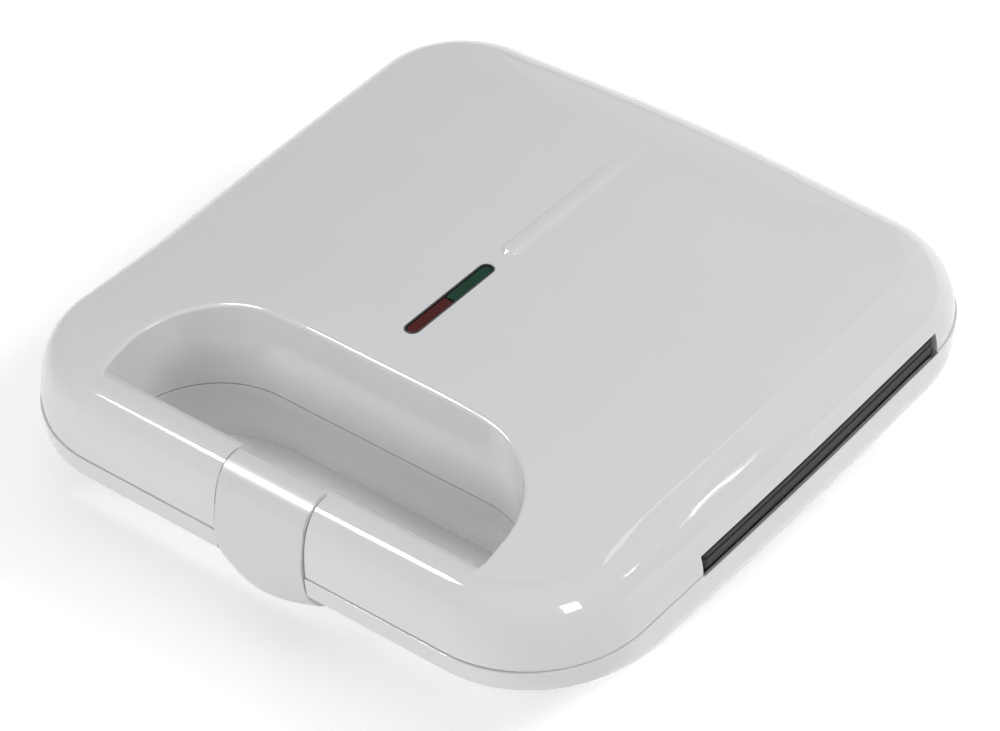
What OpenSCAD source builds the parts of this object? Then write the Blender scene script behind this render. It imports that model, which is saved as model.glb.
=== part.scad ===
// Countertop sandwich toaster: two clamshell housings on a rear hinge, two
// patterned heating plates and a latch clip on the carrying handle.
// Millimetres, +Z up. x = 0 is the middle, -Y is the handle side, and z = 0 is
// the table under the feet.

/* [Housing] */
// Width over the two long sides at the parting line
body_w = 230; // [200:1:260]
// Depth from the handle front to the back wall at the parting line
body_d = 236; // [225:1:260]
// Plan radius of the two front corners
corner_front = 42; // [36:1:48]
// Plan radius of the two rear corners
corner_rear = 38; // [32:1:46]
// Height of the parting line above the table
seam_z = 38; // [36:0.5:44]
// Open line between the lid and the base
seam_gap = 0.4; // [0.3:0.05:0.8]
// Wall thickness of both housings
wall = 2.5; // [2:0.1:3]
// Rise of the lid shoulder above the parting line
shoulder_h = 24; // [22:0.5:28]
// Rise of the top panel above the shoulder crease
dome_h = 13; // [9:0.5:18]
// How far the shoulder crease lies inside the long sides
shoulder_in = 14; // [11:0.5:18]
// Height of the upright band round the base
band_h = 7.5; // [5:0.5:10]
// How far the base band stands out past the lid
band_out = 0.5; // [0.2:0.1:1]

/* [Handle] */
// Distance from the handle front to the rear wall of the hand opening
bay_reach = 58; // [50:1:64]
// Half width of the hand opening
bay_half = 75; // [66:1:80]
// Plan radius of the rear corners of the hand opening
bay_r = 33; // [24:1:38]
// Front-to-back depth of the handle tube
handle_d = 23; // [21:0.5:28]

/* [Latch] */
// Width of the latch clip
latch_w = 35.2; // [28:0.2:44]
// Thickness of the latch clip
latch_t = 2.8; // [2.2:0.1:3.4]
// Outer radius of the clip round its pivot
latch_r = 10; // [9:0.1:11]
// Radius of the latch pin
latch_pin_r = 1.5; // [1.2:0.1:2]

/* [Plates] */
// How far the edges of the plates lie inside the long sides
plate_inset = 0.6; // [0.4:0.1:4]
// Distance from the hand opening back to the plates
plate_front = 14; // [12:1:20]
// Distance from the plates to the back wall
plate_rear = 40; // [36:1:50]
// Height of the line where the plates meet, above the parting line
meet_h = 4.7; // [4.4:0.1:5]
// Thickness of the lower plate rim
lower_rim = 4.2; // [3.2:0.1:4.2]
// Thickness of the upper plate rim
upper_rim = 2.1; // [1.8:0.1:2.2]
// Depth of the bread pockets
pocket_depth = 10.5; // [8:0.5:10.5]
// Metal thickness under the pockets
plate_t = 2; // [1.5:0.1:2.4]
// Width of the ridge between two pockets
ridge_w = 6; // [4:0.5:9]

/* [Side slots] */
// Height of the slots that show the plate edges
slot_h = 7.3; // [7.2:0.1:9]

/* [Indicator] */
// Length of the indicator window
lens_l = 41.5; // [30:0.5:46]
// Width of the indicator window
lens_w = 5.2; // [4:0.1:7]
// Distance from the middle of the appliance forward to the front of the window
lens_front = 44; // [42:0.5:45]

/* [Raised rib] */
// Length of the raised rib behind the indicator
rib_l = 70; // [50:1:80]
// Width of the raised rib
rib_w = 6.5; // [4:0.1:9]
// Height of the rib above the panel
rib_h = 0.9; // [0.5:0.1:1.5]

/* [Hinge] */
// Height of the hinge line above the table
hinge_z = 34; // [33:0.1:34.5]
// Distance of each hinge from the middle
hinge_x = 56; // [40:1:64]
// Width of the moving knuckle
knuckle_w = 7.4; // [5:0.1:10]
// Outer radius of the hinge knuckles
knuckle_r = 3; // [2.8:0.1:3.2]
// Radius of the hinge pins
hinge_pin_r = 1.5; // [1.2:0.1:1.7]

/* [Heaters] */
// Radius of the heating rods
rod_r = 3; // [2.5:0.1:3.5]
// Radius of the rod bends
rod_bend = 26; // [25:0.5:32]
// Thickness of the reflector sheets
tray_t = 0.6; // [0.5:0.1:1]

/* [Feet and cord inlet] */
// Radius of the feet
foot_r = 6.5; // [5:0.5:8]
// Height of the feet below the base
foot_h = 10; // [8:0.5:11]
// Half the distance between the left and right feet
foot_x = 72; // [60:1:76]
// Radius of the hole for the cord in its bush
cord_r = 3.5; // [3:0.1:4]
// Length of the cord bush
bush_l = 16; // [14:0.5:18]

/* [Fasteners] */
// Radius of the screw shanks
screw_r = 1.5; // [1.2:0.1:1.8]
// Radius of the screw heads
head_r = 3; // [2.6:0.1:3.4]

/* [Hidden] */

$fn = 48;
eps = 0.01;
fit = 0.4;             // open gap between pieces that are not fastened together
seat = 0.1;            // gap between a piece and the face that carries it
run_gap = 0.05;        // radial play of a pin that turns in a bore

half_w = body_w / 2;
half_d = body_d / 2;
lid_z = seam_z + seam_gap;
crease_z = lid_z + shoulder_h;
shoulder_back = shoulder_in + 4;
rear_droop = 1;        // how much lower the crease is at the back
side_bulge = 0.7;
back_bulge = 3;
turn_side = 62;        // degrees that the shoulder turns before the crease
turn_front = 90;       // the handle tube turns right over
tube_power = 2 / 2.4;  // squareness of the handle tube
core_x = 12;           // the flattest part of the top panel
core_front = -40;
core_rear_in = 54;
core_rear = half_d - core_rear_in;
core_slope = -0.035;
dome_power = 1.8;
base_z = foot_h;
curve_h = seam_z - band_h - base_z;
base_in = 24;
lip_front = bay_reach + 2;
undercut_power = 0.6;

handle_mid = -half_d + handle_d / 2;
bay_rear = -half_d + bay_reach;
bay_front_r = 8;
bay_flare = 7;

plate_w = body_w - 2 * plate_inset;
plate_d = half_d - plate_rear - bay_rear - plate_front;
plate_y = bay_rear + plate_front + plate_d / 2;
meet_z = seam_z + meet_h;
lower_top = meet_z - fit / 2;
upper_bottom = meet_z + fit / 2;
pocket_taper = 6;
pocket_corner = 12;
slot_front = plate_y - plate_d / 2 - 0.5;
slot_rear = plate_y + plate_d / 2 + 0.5;

hinge_y = half_d - 0.4;
pivot_z = crease_z - 9.6;
latch_gap = latch_w / 2 + fit;
neck_wall = latch_gap + wall;

deck_t = 2;
deck_in = wall + fit + 0.5;
deck_screws = [[-half_w + 19, -half_d + 38], [half_w - 19, -half_d + 38],
    [-30, half_d - 28], [30, half_d - 28]];
boss_r = head_r + 1.2;

pocket_in = 8;         // plate rim before and behind the pockets
pocket_side = 11.4;    // plate rim beside the pockets
rim_corner = 3;
slot_deep = 8;
deck_screw_l = 10;
arm_screw_l = 13;
slot_lip = 0.6;        // what is left of the base rim beside the plates
slot_groove = 1.5;
pocket_mid = 4;        // half the web between the two sandwiches
lower_bowl = lower_top - pocket_depth - plate_t;
upper_bowl = upper_bottom + pocket_depth + plate_t;
stud_r = 4;
stud_neck = 2.8;
lug_x = half_w - 27;
lug_r = 5;
lug_t = 3;
lug_z = upper_bottom;
lug_front = plate_y - plate_d / 2 - 6;
lug_rear = plate_y + plate_d / 2 + 6;
lugs = [for (sx = [-1, 1], y = [lug_front, lug_rear]) [sx * lug_x, y]];

rod_z_low = lower_bowl - seat - rod_r;
rod_z_up = upper_bowl + seat + rod_r;
strap_t = 0.6;
strap_w = 9;
tray_low = rod_z_low - rod_r - seat - strap_t - 2;
tray_up = rod_z_up + rod_r + seat + strap_t + 0.4;
tray_x = half_w - 39;
tray_y = plate_d / 2 - 10;
tray_lip = 5;

arm_bay = knuckle_w + 1;
hinge_bay = knuckle_w + 9;
ear_gap = fit / 2;
bracket_y = half_d - 20;
bracket_screw_y = half_d - 15;
arm_screw_y = half_d - 17;
latch_floor = 9;       // depth of the base recess behind the clip
bush_r = cord_r + 2.5;
bush_z = seam_z - 15;
bush_y = half_d + 2.5;
bush_flange = 3;
bush_rim = 1.8;
foot_rear_y = half_d - 33;
foot_front_y = bay_rear + 13;
foot_places = [[-foot_x, foot_front_y], [foot_x, foot_front_y], [-foot_x, foot_rear_y], [foot_x, foot_rear_y]];
rib_front = lens_l - lens_front + 10;
floor_z = base_z + wall;
ceiling_z = core_z(-lens_front / 2) - wall;
lens_flange = 1.2;
lens_seat = ceiling_z - 0.5;
lens_mid = -lens_front + lens_l / 2;

pocket_x0 = pocket_mid;
pocket_x1 = plate_w / 2 - pocket_side;
pocket_y0 = plate_y - plate_d / 2 + pocket_in;
pocket_y1 = plate_y + plate_d / 2 - pocket_in;
outer_tri = [[pocket_x0, pocket_y0], [pocket_x1, pocket_y0], [pocket_x1, pocket_y1]];
inner_tri = [[pocket_x0, pocket_y0], [pocket_x1, pocket_y1], [pocket_x0, pocket_y1]];
studs = [for (s = [-1, 1], t = [outer_tri, inner_tri]) [s * centre3(t).x, centre3(t).y]];
rod_end = tray_x + 4;
rod_start = -abs(studs[0].x)
    + sqrt(pow(rod_bend + rod_r + stud_r + fit, 2) - pow(studs[0].y - plate_y, 2));
hinge_bosses = [for (s = [-1, 1]) [s * hinge_x, bracket_screw_y]];
arm_bosses = [for (s = [-1, 1]) [s * hinge_x, arm_screw_y]];
clamp_y = bush_y - bush_l - 6;
clamp_low = floor_z + 5;
block_y = clamp_y - 18;
lead_y = half_d - 12;
lead_hole = 5;
lead_r = 1;
thermostat_r = 11;
tab_t = 0.8;
lead_down = plate_y + thermostat_r + 3;
holder_top = lens_seat - 2 - seat;
holder_low = tray_up + tray_t + 3 * seat;
lamp_r = 1.8;
lamp_l = 12;
lamp_z = holder_top - lamp_r - 1;
lamp_x = lens_w / 2 - 0.2;
saddle_r = latch_r - latch_t - fit;
latch_ear = 2.2;
saddle_w = latch_w - 2 * latch_ear - fit;
arc_steps = 9;         // steps of each plan corner
side_steps = 6;
lid_steps = 7;
panel_steps = [0.04, 0.1, 0.18, 0.28, 0.4, 0.55, 0.75, 1];
clip_steps = 8;

function mix(a, b, t) = a + (b - a) * t;
function clamp01(t) = max(0, min(1, t));
function centre3(t) = (t[0] + t[1] + t[2]) / 3;

// One closed outline in plan, counter-clockwise from the front right corner:
// half width w, front f, back b, front and rear corner radii, side and back bulge.
function arc_pts(cx, cy, r, a0) =
    [for (i = [0:arc_steps]) [cx + r * cos(a0 + 90 * i / arc_steps), cy + r * sin(a0 + 90 * i / arc_steps)]];
function side_pts(p, q, n, bulge) =
    [for (i = [1:side_steps - 1]) let (t = i / side_steps) p + (q - p) * t + n * bulge * 4 * t * (1 - t)];
function outline(w, f, b, rf, rb, sb = side_bulge, bb = back_bulge) = let (
        x = w - sb,
        k = b - bb,
        p0 = [x, f + rf], p1 = [x, k - rb], p2 = [x - rb, k], p3 = [rb - x, k],
        p4 = [-x, k - rb], p5 = [-x, f + rf], p6 = [rf - x, f], p7 = [x - rf, f])
    concat(
        arc_pts(x - rf, f + rf, rf, -90), side_pts(p0, p1, [1, 0], sb),
        arc_pts(x - rb, k - rb, rb, 0), side_pts(p2, p3, [0, 1], bb),
        arc_pts(rb - x, k - rb, rb, 90), side_pts(p4, p5, [-1, 0], sb),
        arc_pts(rf - x, f + rf, rf, 180), side_pts(p6, p7, [0, -1], 0));

// A closed skin through rings that all have the same number of points.
module skin(rings) {
    n = len(rings[0]);
    last = len(rings) - 1;
    points = [for (r = rings) for (p = r) p];
    walls = [for (k = [0:last - 1]) for (i = [0:n - 1]) let (j = (i + 1) % n)
        each [[k * n + i, (k + 1) * n + i, (k + 1) * n + j], [k * n + i, (k + 1) * n + j, k * n + j]]];
    polyhedron(points, concat([[for (i = [0:n - 1]) i]], walls, [[for (i = [n - 1:-1:0]) last * n + i]]));
}

// --- Lid surface -------------------------------------------------------------
// s runs 0 to 1 up the shoulder; t is the inward offset of the inner skin.
function crease_at(y) = crease_z - rear_droop * pow(clamp01(y / half_d), 2);
function lid_front_in(s) = handle_d / 2 * (1 - pow(cos(turn_front * s), tube_power));
function lid_side_in(s) = shoulder_in * (1 - cos(turn_side * s)) / (1 - cos(turn_side));
function lid_back_in(s) = shoulder_back * (1 - cos(turn_side * s)) / (1 - cos(turn_side));
function lid_rise(s, y) = mix(sin(turn_side * s) / sin(turn_side), pow(sin(turn_front * s), tube_power),
    clamp01((-y - half_d + 75) / 50));
function lid_ring(s, t) = [for (p = outline(
        half_w - lid_side_in(s) - t, -half_d + lid_front_in(s) + t, half_d - lid_back_in(s) - t,
        corner_front - 0.75 * lid_side_in(s) - t, corner_rear - 0.75 * lid_back_in(s) - t))
    [p.x, p.y, lid_z + (crease_at(p.y) - lid_z) * lid_rise(s, p.y) - (s > 0 ? t * s : 0)]];
// u runs 0 to 1 from the crease to the flat core of the top panel.
function core_z(y) = crease_z + dome_h + core_slope * (y - core_front) - 0.6;
function panel_ring(u, t) = [for (p = outline(
        mix(half_w - shoulder_in - t, core_x, u), mix(handle_mid + t, core_front, u),
        mix(half_d - shoulder_back - t, core_rear, u),
        mix(corner_front - 0.75 * shoulder_in - t, core_x * 0.8, u),
        mix(corner_rear - 0.75 * shoulder_back - t, core_x * 0.8, u),
        side_bulge * (1 - u), back_bulge * (1 - u)))
    [p.x, p.y, mix(crease_at(p.y), core_z(p.y), 1 - pow(1 - u, dome_power)) - t]];
module lid_skin(t) {
    rim = [for (p = lid_ring(0, t)) [p.x, p.y, lid_z - (t > 0 ? 1 : 0)]];
    skin(concat([rim], [for (k = [t > 0 ? 0.5 : 1:lid_steps]) lid_ring(k / lid_steps, t)],
        [for (u = panel_steps) panel_ring(u, t)]));
}

// --- Base surface ------------------------------------------------------------
// a is the angle that the lower shell has turned under, 0 at the band.
function base_ring(a, t) = [for (p = outline(
        half_w - base_in * (1 - cos(a)) - t,
        -half_d + lip_front * pow(1 - cos(a), undercut_power) + t,
        half_d - base_in * (1 - cos(a)) - t,
        corner_front - 0.6 * base_in * (1 - cos(a)) - t, corner_rear - 0.6 * base_in * (1 - cos(a)) - t))
    [p.x, p.y, mix(seam_z - band_h, base_z, sin(a)) + t * sin(a)]];
function band_ring(z, out, t) = [for (p = outline(half_w + out - t, -half_d - out + t, half_d + out - t,
    corner_front - t, corner_rear - t)) [p.x, p.y, z]];
module base_skin(t) {
    skin(concat([for (a = [90, 78, 66, 54, 42, 30, 20, 10, 0]) base_ring(a, t)],
        [band_ring(seam_z - band_h / 2, band_out * 0.6, t), band_ring(seam_z + (t > 0 ? 1 : 0), band_out, t)]));
}

// --- Hand opening ------------------------------------------------------------
// Plan of the hand opening, grown by g; its front edge is given.
module bay_plan(front, g) {
    w = bay_half + g;
    rear = bay_rear + g;
    r = bay_r + g;
    q = min(bay_front_r, rear - front - r - 0.5);
    polygon(concat(
        arc_pts(w - q, front + q, q, -90), arc_pts(w - r, rear - r, r, 0),
        arc_pts(r - w, rear - r, r, 90), arc_pts(q - w, front + q, q, 180)));
}
// Cross-section of the handle tube above the parting line, shrunk by t.
function tube_side(t, sgn) = [for (i = [0:10]) let (a = sgn > 0 ? 9 * i : 90 - 9 * i)
    [handle_mid + sgn * (handle_d / 2 - t) * pow(cos(a), tube_power),
     lid_z + (crease_z - lid_z + 0.1 - t) * pow(sin(a), tube_power)]];
module handle_bar(t) {
    deep = half_d + 10;
    rotate([90, 0, 90])
        linear_extrude(2 * bay_half + 20, center = true)
            polygon(concat([[-deep, lid_z - 2], [handle_mid + handle_d / 2 - t, lid_z - 2]], tube_side(t, 1),
                [[handle_mid, crease_z + 0.1 - t], [-deep, crease_z + 0.1 - t]]));
}
module lid_bay(t) {
    difference() {
        translate([0, 0, lid_z - 3]) linear_extrude(60) bay_plan(handle_mid - 1 - t, t);
        handle_bar(t);
    }
}
module base_bay(g) {
    front = handle_mid + handle_d / 2 - g;
    translate([0, 0, seam_z - band_h]) linear_extrude(band_h + 5) bay_plan(front, g);
    hull() {
        translate([0, 0, seam_z - band_h]) linear_extrude(eps) bay_plan(front, g);
        translate([0, 0, base_z - 4]) linear_extrude(eps) bay_plan(front, g + bay_flare);
    }
}

// Bosses reach the outer skin and are trimmed inside it.
module base_bosses() {
    intersection() {
        base_skin(wall / 2);
        union() {
            for (p = deck_screws) hull() {
                translate([p.x, p.y, base_z]) cylinder(h = seam_z - deck_t - seat - base_z, r = boss_r, $fn = 24);
                translate([p.x * 1.06, p.y, base_z])
                    cylinder(h = curve_h * 0.6, r = boss_r, $fn = 24);
            }
            for (p = studs) hull() {
                translate([p.x, p.y, base_z]) cylinder(h = tray_low - seat - base_z, r = boss_r, $fn = 24);
                translate([p.x, p.y, base_z]) cylinder(h = wall + 1, r = boss_r + 1.5, $fn = 24);
            }
            for (s = [-1, 1]) translate([s * hinge_x, bracket_screw_y, base_z])
                cylinder(h = hinge_z - knuckle_r - 1.2 - seat - base_z, r = boss_r, $fn = 24);
            for (s = [-1, 1]) translate([s * 9, bush_y - bush_l - 6, base_z])
                cylinder(h = wall + 5 - seat, r = boss_r, $fn = 24);
        }
    }
}
module lid_bosses() {
    intersection() {
        lid_skin(wall / 2);
        union() {
            for (p = deck_screws) hull() {
                translate([p.x, p.y, lid_z + 2 + deck_t + seat]) cylinder(h = 40, r = boss_r, $fn = 24);
                translate([p.x * 1.04, p.y, crease_z - 8]) cylinder(h = 20, r = boss_r, $fn = 24);
            }
            for (p = lugs) hull() {
                translate([p.x, p.y, lug_z + lug_t + seat]) cylinder(h = 40, r = boss_r, $fn = 24);
                translate([p.x * 1.04, p.y, crease_z - 8]) cylinder(h = 20, r = boss_r, $fn = 24);
            }
            for (s = [-1, 1]) translate([s * hinge_x, arm_screw_y, lid_z + 2 + deck_t + 3 + 2 * seat])
                cylinder(h = 40, r = boss_r, $fn = 24);
        }
    }
}
// Screw holes down the bosses, from height z down or up by h.
module holes(places, z, h, r = screw_r + 0.1) {
    for (p = places) translate([p.x, p.y, z]) cylinder(h = h, r = r, $fn = 24);
}

module lower_housing() color("gainsboro") {
    difference() {
        union() {
            difference() {
                base_skin(0);
                difference() {
                    base_skin(wall);
                    base_bay(wall);
                    translate([-neck_wall, -half_d - 2, base_z])
                        cube([2 * neck_wall, 2 + latch_floor + wall, seam_z]);
                }
            }
            base_bosses();
        }
        base_bay(0);
        translate([-latch_gap, -half_d - 2, 0]) cube([2 * latch_gap, 2 + latch_floor, seam_z + 2]);
        for (s = [-1, 1]) translate([s * hinge_x - hinge_bay / 2, half_d - 12, hinge_z - knuckle_r - 1.6])
            cube([hinge_bay, 20, 20]);
        translate([0, half_d - 12, bush_z]) rotate([-90, 0, 0]) cylinder(h = 20, r = bush_r + seat);
        translate([0, bush_y - bush_flange - seat, bush_z]) rotate([-90, 0, 0])
            cylinder(h = 20, r = bush_r + bush_rim + seat);
        intersection() {
            base_skin(slot_lip);
            translate([-body_w, slot_front, seam_z - slot_groove]) cube([2 * body_w, slot_rear - slot_front, 10]);
        }
        holes(foot_places, base_z - 1, wall + 2);
        holes(studs, base_z - 1, tray_low, screw_r + 0.2);
        holes(studs, base_z - 1, 3, head_r + 0.3);
        holes(deck_screws, seam_z - deck_t - 9, 20);
        holes(hinge_bosses, hinge_z - knuckle_r - 9, 20);
        holes([for (s = [-1, 1]) [s * 9, bush_y - bush_l - 6]], floor_z - 1, 20);
    }
}

module upper_housing() color("gainsboro") {
    difference() {
        union() {
            difference() {
                lid_skin(0);
                difference() {
                    lid_skin(wall);
                    lid_bay(wall);
                    translate([-neck_wall, -half_d - 2, lid_z - 2]) cube([2 * neck_wall, handle_d + 4, 40]);
                }
            }
            lid_bosses();
            rib();
        }
        lid_bay(0);
        translate([-latch_gap, -half_d - 2, lid_z - 2]) cube([2 * latch_gap, handle_d + 4, 40]);
        for (s = [-1, 1]) translate([s * half_w - slot_deep, slot_front, lid_z - 1])
            cube([2 * slot_deep, slot_rear - slot_front, slot_h + 1 - seam_gap]);
        for (s = [-1, 1]) translate([s * hinge_x - arm_bay / 2, half_d - 10, lid_z - 1])
            cube([arm_bay, 20, 5]);
        translate([0, 0, ceiling_z - 10]) linear_extrude(30) lens_plan(fit / 2);
        holes(deck_screws, lid_z, 14);
        holes(lugs, lid_z, 18);
        holes(arm_bosses, lid_z, 18);
    }
}
module lens_plan(g) {
    r = lens_w / 2 + g;
    hull() for (y = [-lens_front + lens_w / 2, -lens_front + lens_l - lens_w / 2])
        translate([0, y]) circle(r, $fn = 32);
}
module rib() {
    for (i = [0:3]) hull() for (k = [i, i + 1]) {
        y = rib_front + k / 4 * rib_l;
        fade = y > core_rear ? pow((y - core_rear) / (half_d - shoulder_back - core_rear), dome_power) * dome_h : 0;
        translate([0, y, core_z(y) - fade - 1]) scale([1, 1, (rib_h + 1) / (rib_w / 2)])
            sphere(rib_w / 2, $fn = 20);
    }
}

// --- Decks that close the housings round the plates --------------------------
module deck_plan() {
    difference() {
        polygon(outline(half_w - deck_in, -half_d + deck_in, half_d - deck_in,
            corner_front - deck_in, corner_rear - deck_in));
        bay_plan(handle_mid + handle_d / 2 - deck_in, deck_in);
        translate([-bay_half - deck_in, handle_mid + handle_d / 2 - deck_in])
            square([2 * (bay_half + deck_in), bay_front_r + deck_in]);
    }
}
// A countersunk hole, or with grow = 0 the screw in it; dir is the way the shank points.
module screw(x, y, z, l, dir, grow = 0) {
    translate([x, y, z]) rotate([dir > 0 ? 0 : 180, 0, 0]) {
        cylinder(h = 1.6, r1 = head_r + grow, r2 = screw_r + grow);
        cylinder(h = l, r = screw_r + grow);
    }
}
module base_front_deck() color("gainsboro") {
    difference() {
        translate([0, 0, seam_z - deck_t]) linear_extrude(deck_t) difference() {
            intersection() {
                deck_plan();
                translate([-half_w, -half_d]) square([body_w, half_d + slot_front + pocket_in / 2]);
            }
            translate([-neck_wall - fit, -half_d]) square([2 * (neck_wall + fit), latch_floor + wall + fit]);
        }
        for (p = deck_screws) screw(p.x, p.y, seam_z + eps, deck_screw_l, -1, 0.15);
    }
}
module base_rear_deck() color("gainsboro") {
    difference() {
        translate([0, 0, seam_z - deck_t]) linear_extrude(deck_t) difference() {
            intersection() {
                deck_plan();
                translate([-half_w, slot_rear - pocket_in / 2]) square([body_w, half_d]);
            }
            for (s = [-1, 1]) translate([s * hinge_x - hinge_bay / 2, bracket_y - fit])
                square([hinge_bay, 30]);
            translate([0, lead_y]) circle(lead_hole);
        }
        for (p = deck_screws) screw(p.x, p.y, seam_z + eps, deck_screw_l, -1, 0.15);
    }
}
module lid_front_deck() color("gainsboro") {
    difference() {
        translate([0, 0, lid_z + 2]) linear_extrude(deck_t) difference() {
            intersection() {
                deck_plan();
                translate([-half_w, -half_d]) square([body_w, half_d + slot_front]);
            }
            translate([-neck_wall - fit, -half_d]) square([2 * (neck_wall + fit), bay_reach - 5]);
        }
        for (p = deck_screws) screw(p.x, p.y, lid_z + 2 - eps, deck_screw_l, 1, 0.15);
    }
}
module lid_rear_deck() color("gainsboro") {
    difference() {
        translate([0, 0, lid_z + 2]) linear_extrude(deck_t) difference() {
            intersection() {
                deck_plan();
                translate([-half_w, slot_rear]) square([body_w, half_d]);
            }
            for (s = [-1, 1]) translate([s * hinge_x - arm_bay / 2, half_d - 10.2]) square([arm_bay, 30]);
            translate([0, lead_y]) circle(lead_hole);
        }
        for (p = deck_screws) screw(p.x, p.y, lid_z + 2 - eps, deck_screw_l, 1, 0.15);
        for (p = arm_bosses) screw(p.x, p.y, lid_z + 2 - eps, deck_screw_l, 1, 0.15);
    }
}
module base_deck_screws() color("silver")
    for (p = deck_screws) screw(p.x, p.y, seam_z, deck_screw_l, -1);
module lid_deck_screws() color("silver") {
    for (p = deck_screws) screw(p.x, p.y, lid_z + 2, deck_screw_l, 1);
    for (p = arm_bosses) screw(p.x, p.y, lid_z + 2, arm_screw_l, 1);
}

// --- Cooking plates ----------------------------------------------------------
// Each sandwich field is split by a diagonal ridge into two pockets.
// A tapered triangular pocket; z0 is its mouth and z1 its bottom, grow fattens it.
module pocket(tri, z0, z1, grow) {
    hull() {
        translate([0, 0, z0 - eps / 2]) linear_extrude(eps)
            offset(r = pocket_corner + grow, $fn = 28) offset(delta = -pocket_corner - ridge_w / 4) polygon(tri);
        translate([0, 0, z1 - eps / 2]) linear_extrude(eps)
            offset(r = pocket_corner + grow, $fn = 28)
                offset(delta = -pocket_corner - ridge_w / 4 - pocket_taper) polygon(tri);
    }
}
module pockets(z0, z1, grow)
    for (s = [0, 1]) mirror([s, 0, 0]) {
        pocket(outer_tri, z0, z1, grow);
        pocket(inner_tri, z0, z1, grow);
    }
// The rim follows the curve of the long sides.
module rim_plan() {
    offset(r = rim_corner, $fn = 24) offset(delta = -rim_corner) intersection() {
        translate([-plate_w / 2, plate_y - plate_d / 2]) square([plate_w, plate_d]);
        polygon(outline(half_w - plate_inset, -half_d, half_d, corner_front, corner_rear));
    }
}
module lower_plate() color([0.24, 0.24, 0.25]) {
    difference() {
        union() {
            translate([0, 0, lower_top - lower_rim]) linear_extrude(lower_rim) rim_plan();
            pockets(lower_top - lower_rim / 2, lower_bowl, plate_t);
            for (p = studs) translate([p.x, p.y, rod_z_low - rod_r])
                cylinder(h = lower_bowl - rod_z_low + rod_r + plate_t / 2, r = stud_r, $fn = 24);
            for (p = studs) translate([p.x, p.y, tray_low + tray_t + seat])
                cylinder(h = lower_bowl - tray_low - 1, r = stud_neck, $fn = 24);
        }
        pockets(lower_top + eps, lower_top - pocket_depth, 0);
        holes(studs, tray_low, lower_bowl - tray_low);
    }
}
module upper_plate() color([0.24, 0.24, 0.25]) {
    difference() {
        union() {
            translate([0, 0, upper_bottom]) linear_extrude(upper_rim) rim_plan();
            for (p = lugs) translate([p.x, p.y, lug_z]) {
                cylinder(h = lug_t, r = lug_r, $fn = 24);
                translate([-lug_r, p.y > plate_y ? -8 : 0, 0]) cube([2 * lug_r, 8, lug_t]);
            }
            pockets(upper_bottom + upper_rim / 2, upper_bowl, plate_t);
            for (p = studs) translate([p.x, p.y, upper_bowl - plate_t / 2])
                cylinder(h = rod_z_up + rod_r - upper_bowl + plate_t / 2, r = stud_r, $fn = 24);
            for (p = studs) translate([p.x, p.y, upper_bowl - 0.5])
                cylinder(h = tray_up - seat - upper_bowl + 0.5, r = stud_neck, $fn = 24);
        }
        pockets(upper_bottom - eps, upper_bottom + pocket_depth, 0);
        holes(studs, upper_bowl, tray_up - upper_bowl);
        for (p = lugs) screw(p.x, p.y, lug_z - eps, 6, 1, 0.15);
    }
}

// --- Heaters -----------------------------------------------------------------
module heater(z) {
    straight = rod_end - rod_start;
    translate([0, plate_y, z]) {
        for (s = [-1, 1]) translate([rod_start, s * rod_bend, 0]) rotate([0, 90, 0]) {
            cylinder(h = straight, r = rod_r);
            translate([0, 0, straight - 1]) cylinder(h = 5, r = rod_r / 2);
        }
        translate([rod_start, 0, 0]) rotate([0, 0, 90]) rotate_extrude(angle = 180)
            translate([rod_bend, 0]) circle(rod_r);
    }
}
module lower_heater() color([0.45, 0.43, 0.42]) heater(rod_z_low);
module upper_heater() color([0.45, 0.43, 0.42]) heater(rod_z_up);
// Straps on the plate studs hold the rod against the pockets.
module straps(z) {
    for (p = studs) difference() {
        translate([p.x - strap_w / 2, plate_y - rod_bend - rod_r - 2, z])
            cube([strap_w, 2 * (rod_bend + rod_r + 2), strap_t]);
        translate([p.x, p.y, z - 1]) cylinder(h = strap_t + 2, r = stud_neck + 0.1);
    }
}
module lower_heater_clamps() color("silver") straps(rod_z_low - rod_r - seat - strap_t);
module upper_heater_clamps() color("silver") straps(rod_z_up + rod_r + seat);
// A shallow tray; dir is the way that its edges turn.
module tray(z, dir) {
    difference() {
        union() {
            translate([-tray_x, plate_y - tray_y, z]) cube([2 * tray_x, 2 * tray_y, tray_t]);
            for (s = [-1, 1]) translate([-tray_x, plate_y + s * (tray_y - tray_t / 2) - tray_t / 2,
                    dir > 0 ? z : z + tray_t - tray_lip])
                cube([2 * tray_x, tray_t, tray_lip]);
        }
        for (p = studs) translate([p.x, p.y, z - 1]) cylinder(h = tray_t + 2, r = screw_r + 0.1);
        for (s = [-1, 1]) translate([s * 5, lead_down, z - 1]) cylinder(h = tray_t + 2, r = 2 * lead_r);
    }
}
module lower_reflector() color([0.78, 0.78, 0.8]) tray(tray_low, 1);
module upper_reflector() color([0.78, 0.78, 0.8]) tray(tray_up, -1);
module pan_screw(x, y, z, l, dir) {
    translate([x, y, z]) rotate([dir > 0 ? 0 : 180, 0, 0]) {
        cylinder(h = 1.8, r = head_r);
        translate([0, 0, 1.8 - eps]) cylinder(h = l, r = screw_r);
    }
}
module lower_plate_screws() color("silver")
    for (p = studs) pan_screw(p.x, p.y, base_z + 0.2, lower_bowl - base_z - 5, 1);
module upper_plate_screws() color("silver") {
    for (p = studs) pan_screw(p.x, p.y, tray_up + tray_t + 1.8 + seat, tray_up - upper_bowl, -1);
    for (p = lugs) screw(p.x, p.y, lug_z, 10, 1);
}

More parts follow.
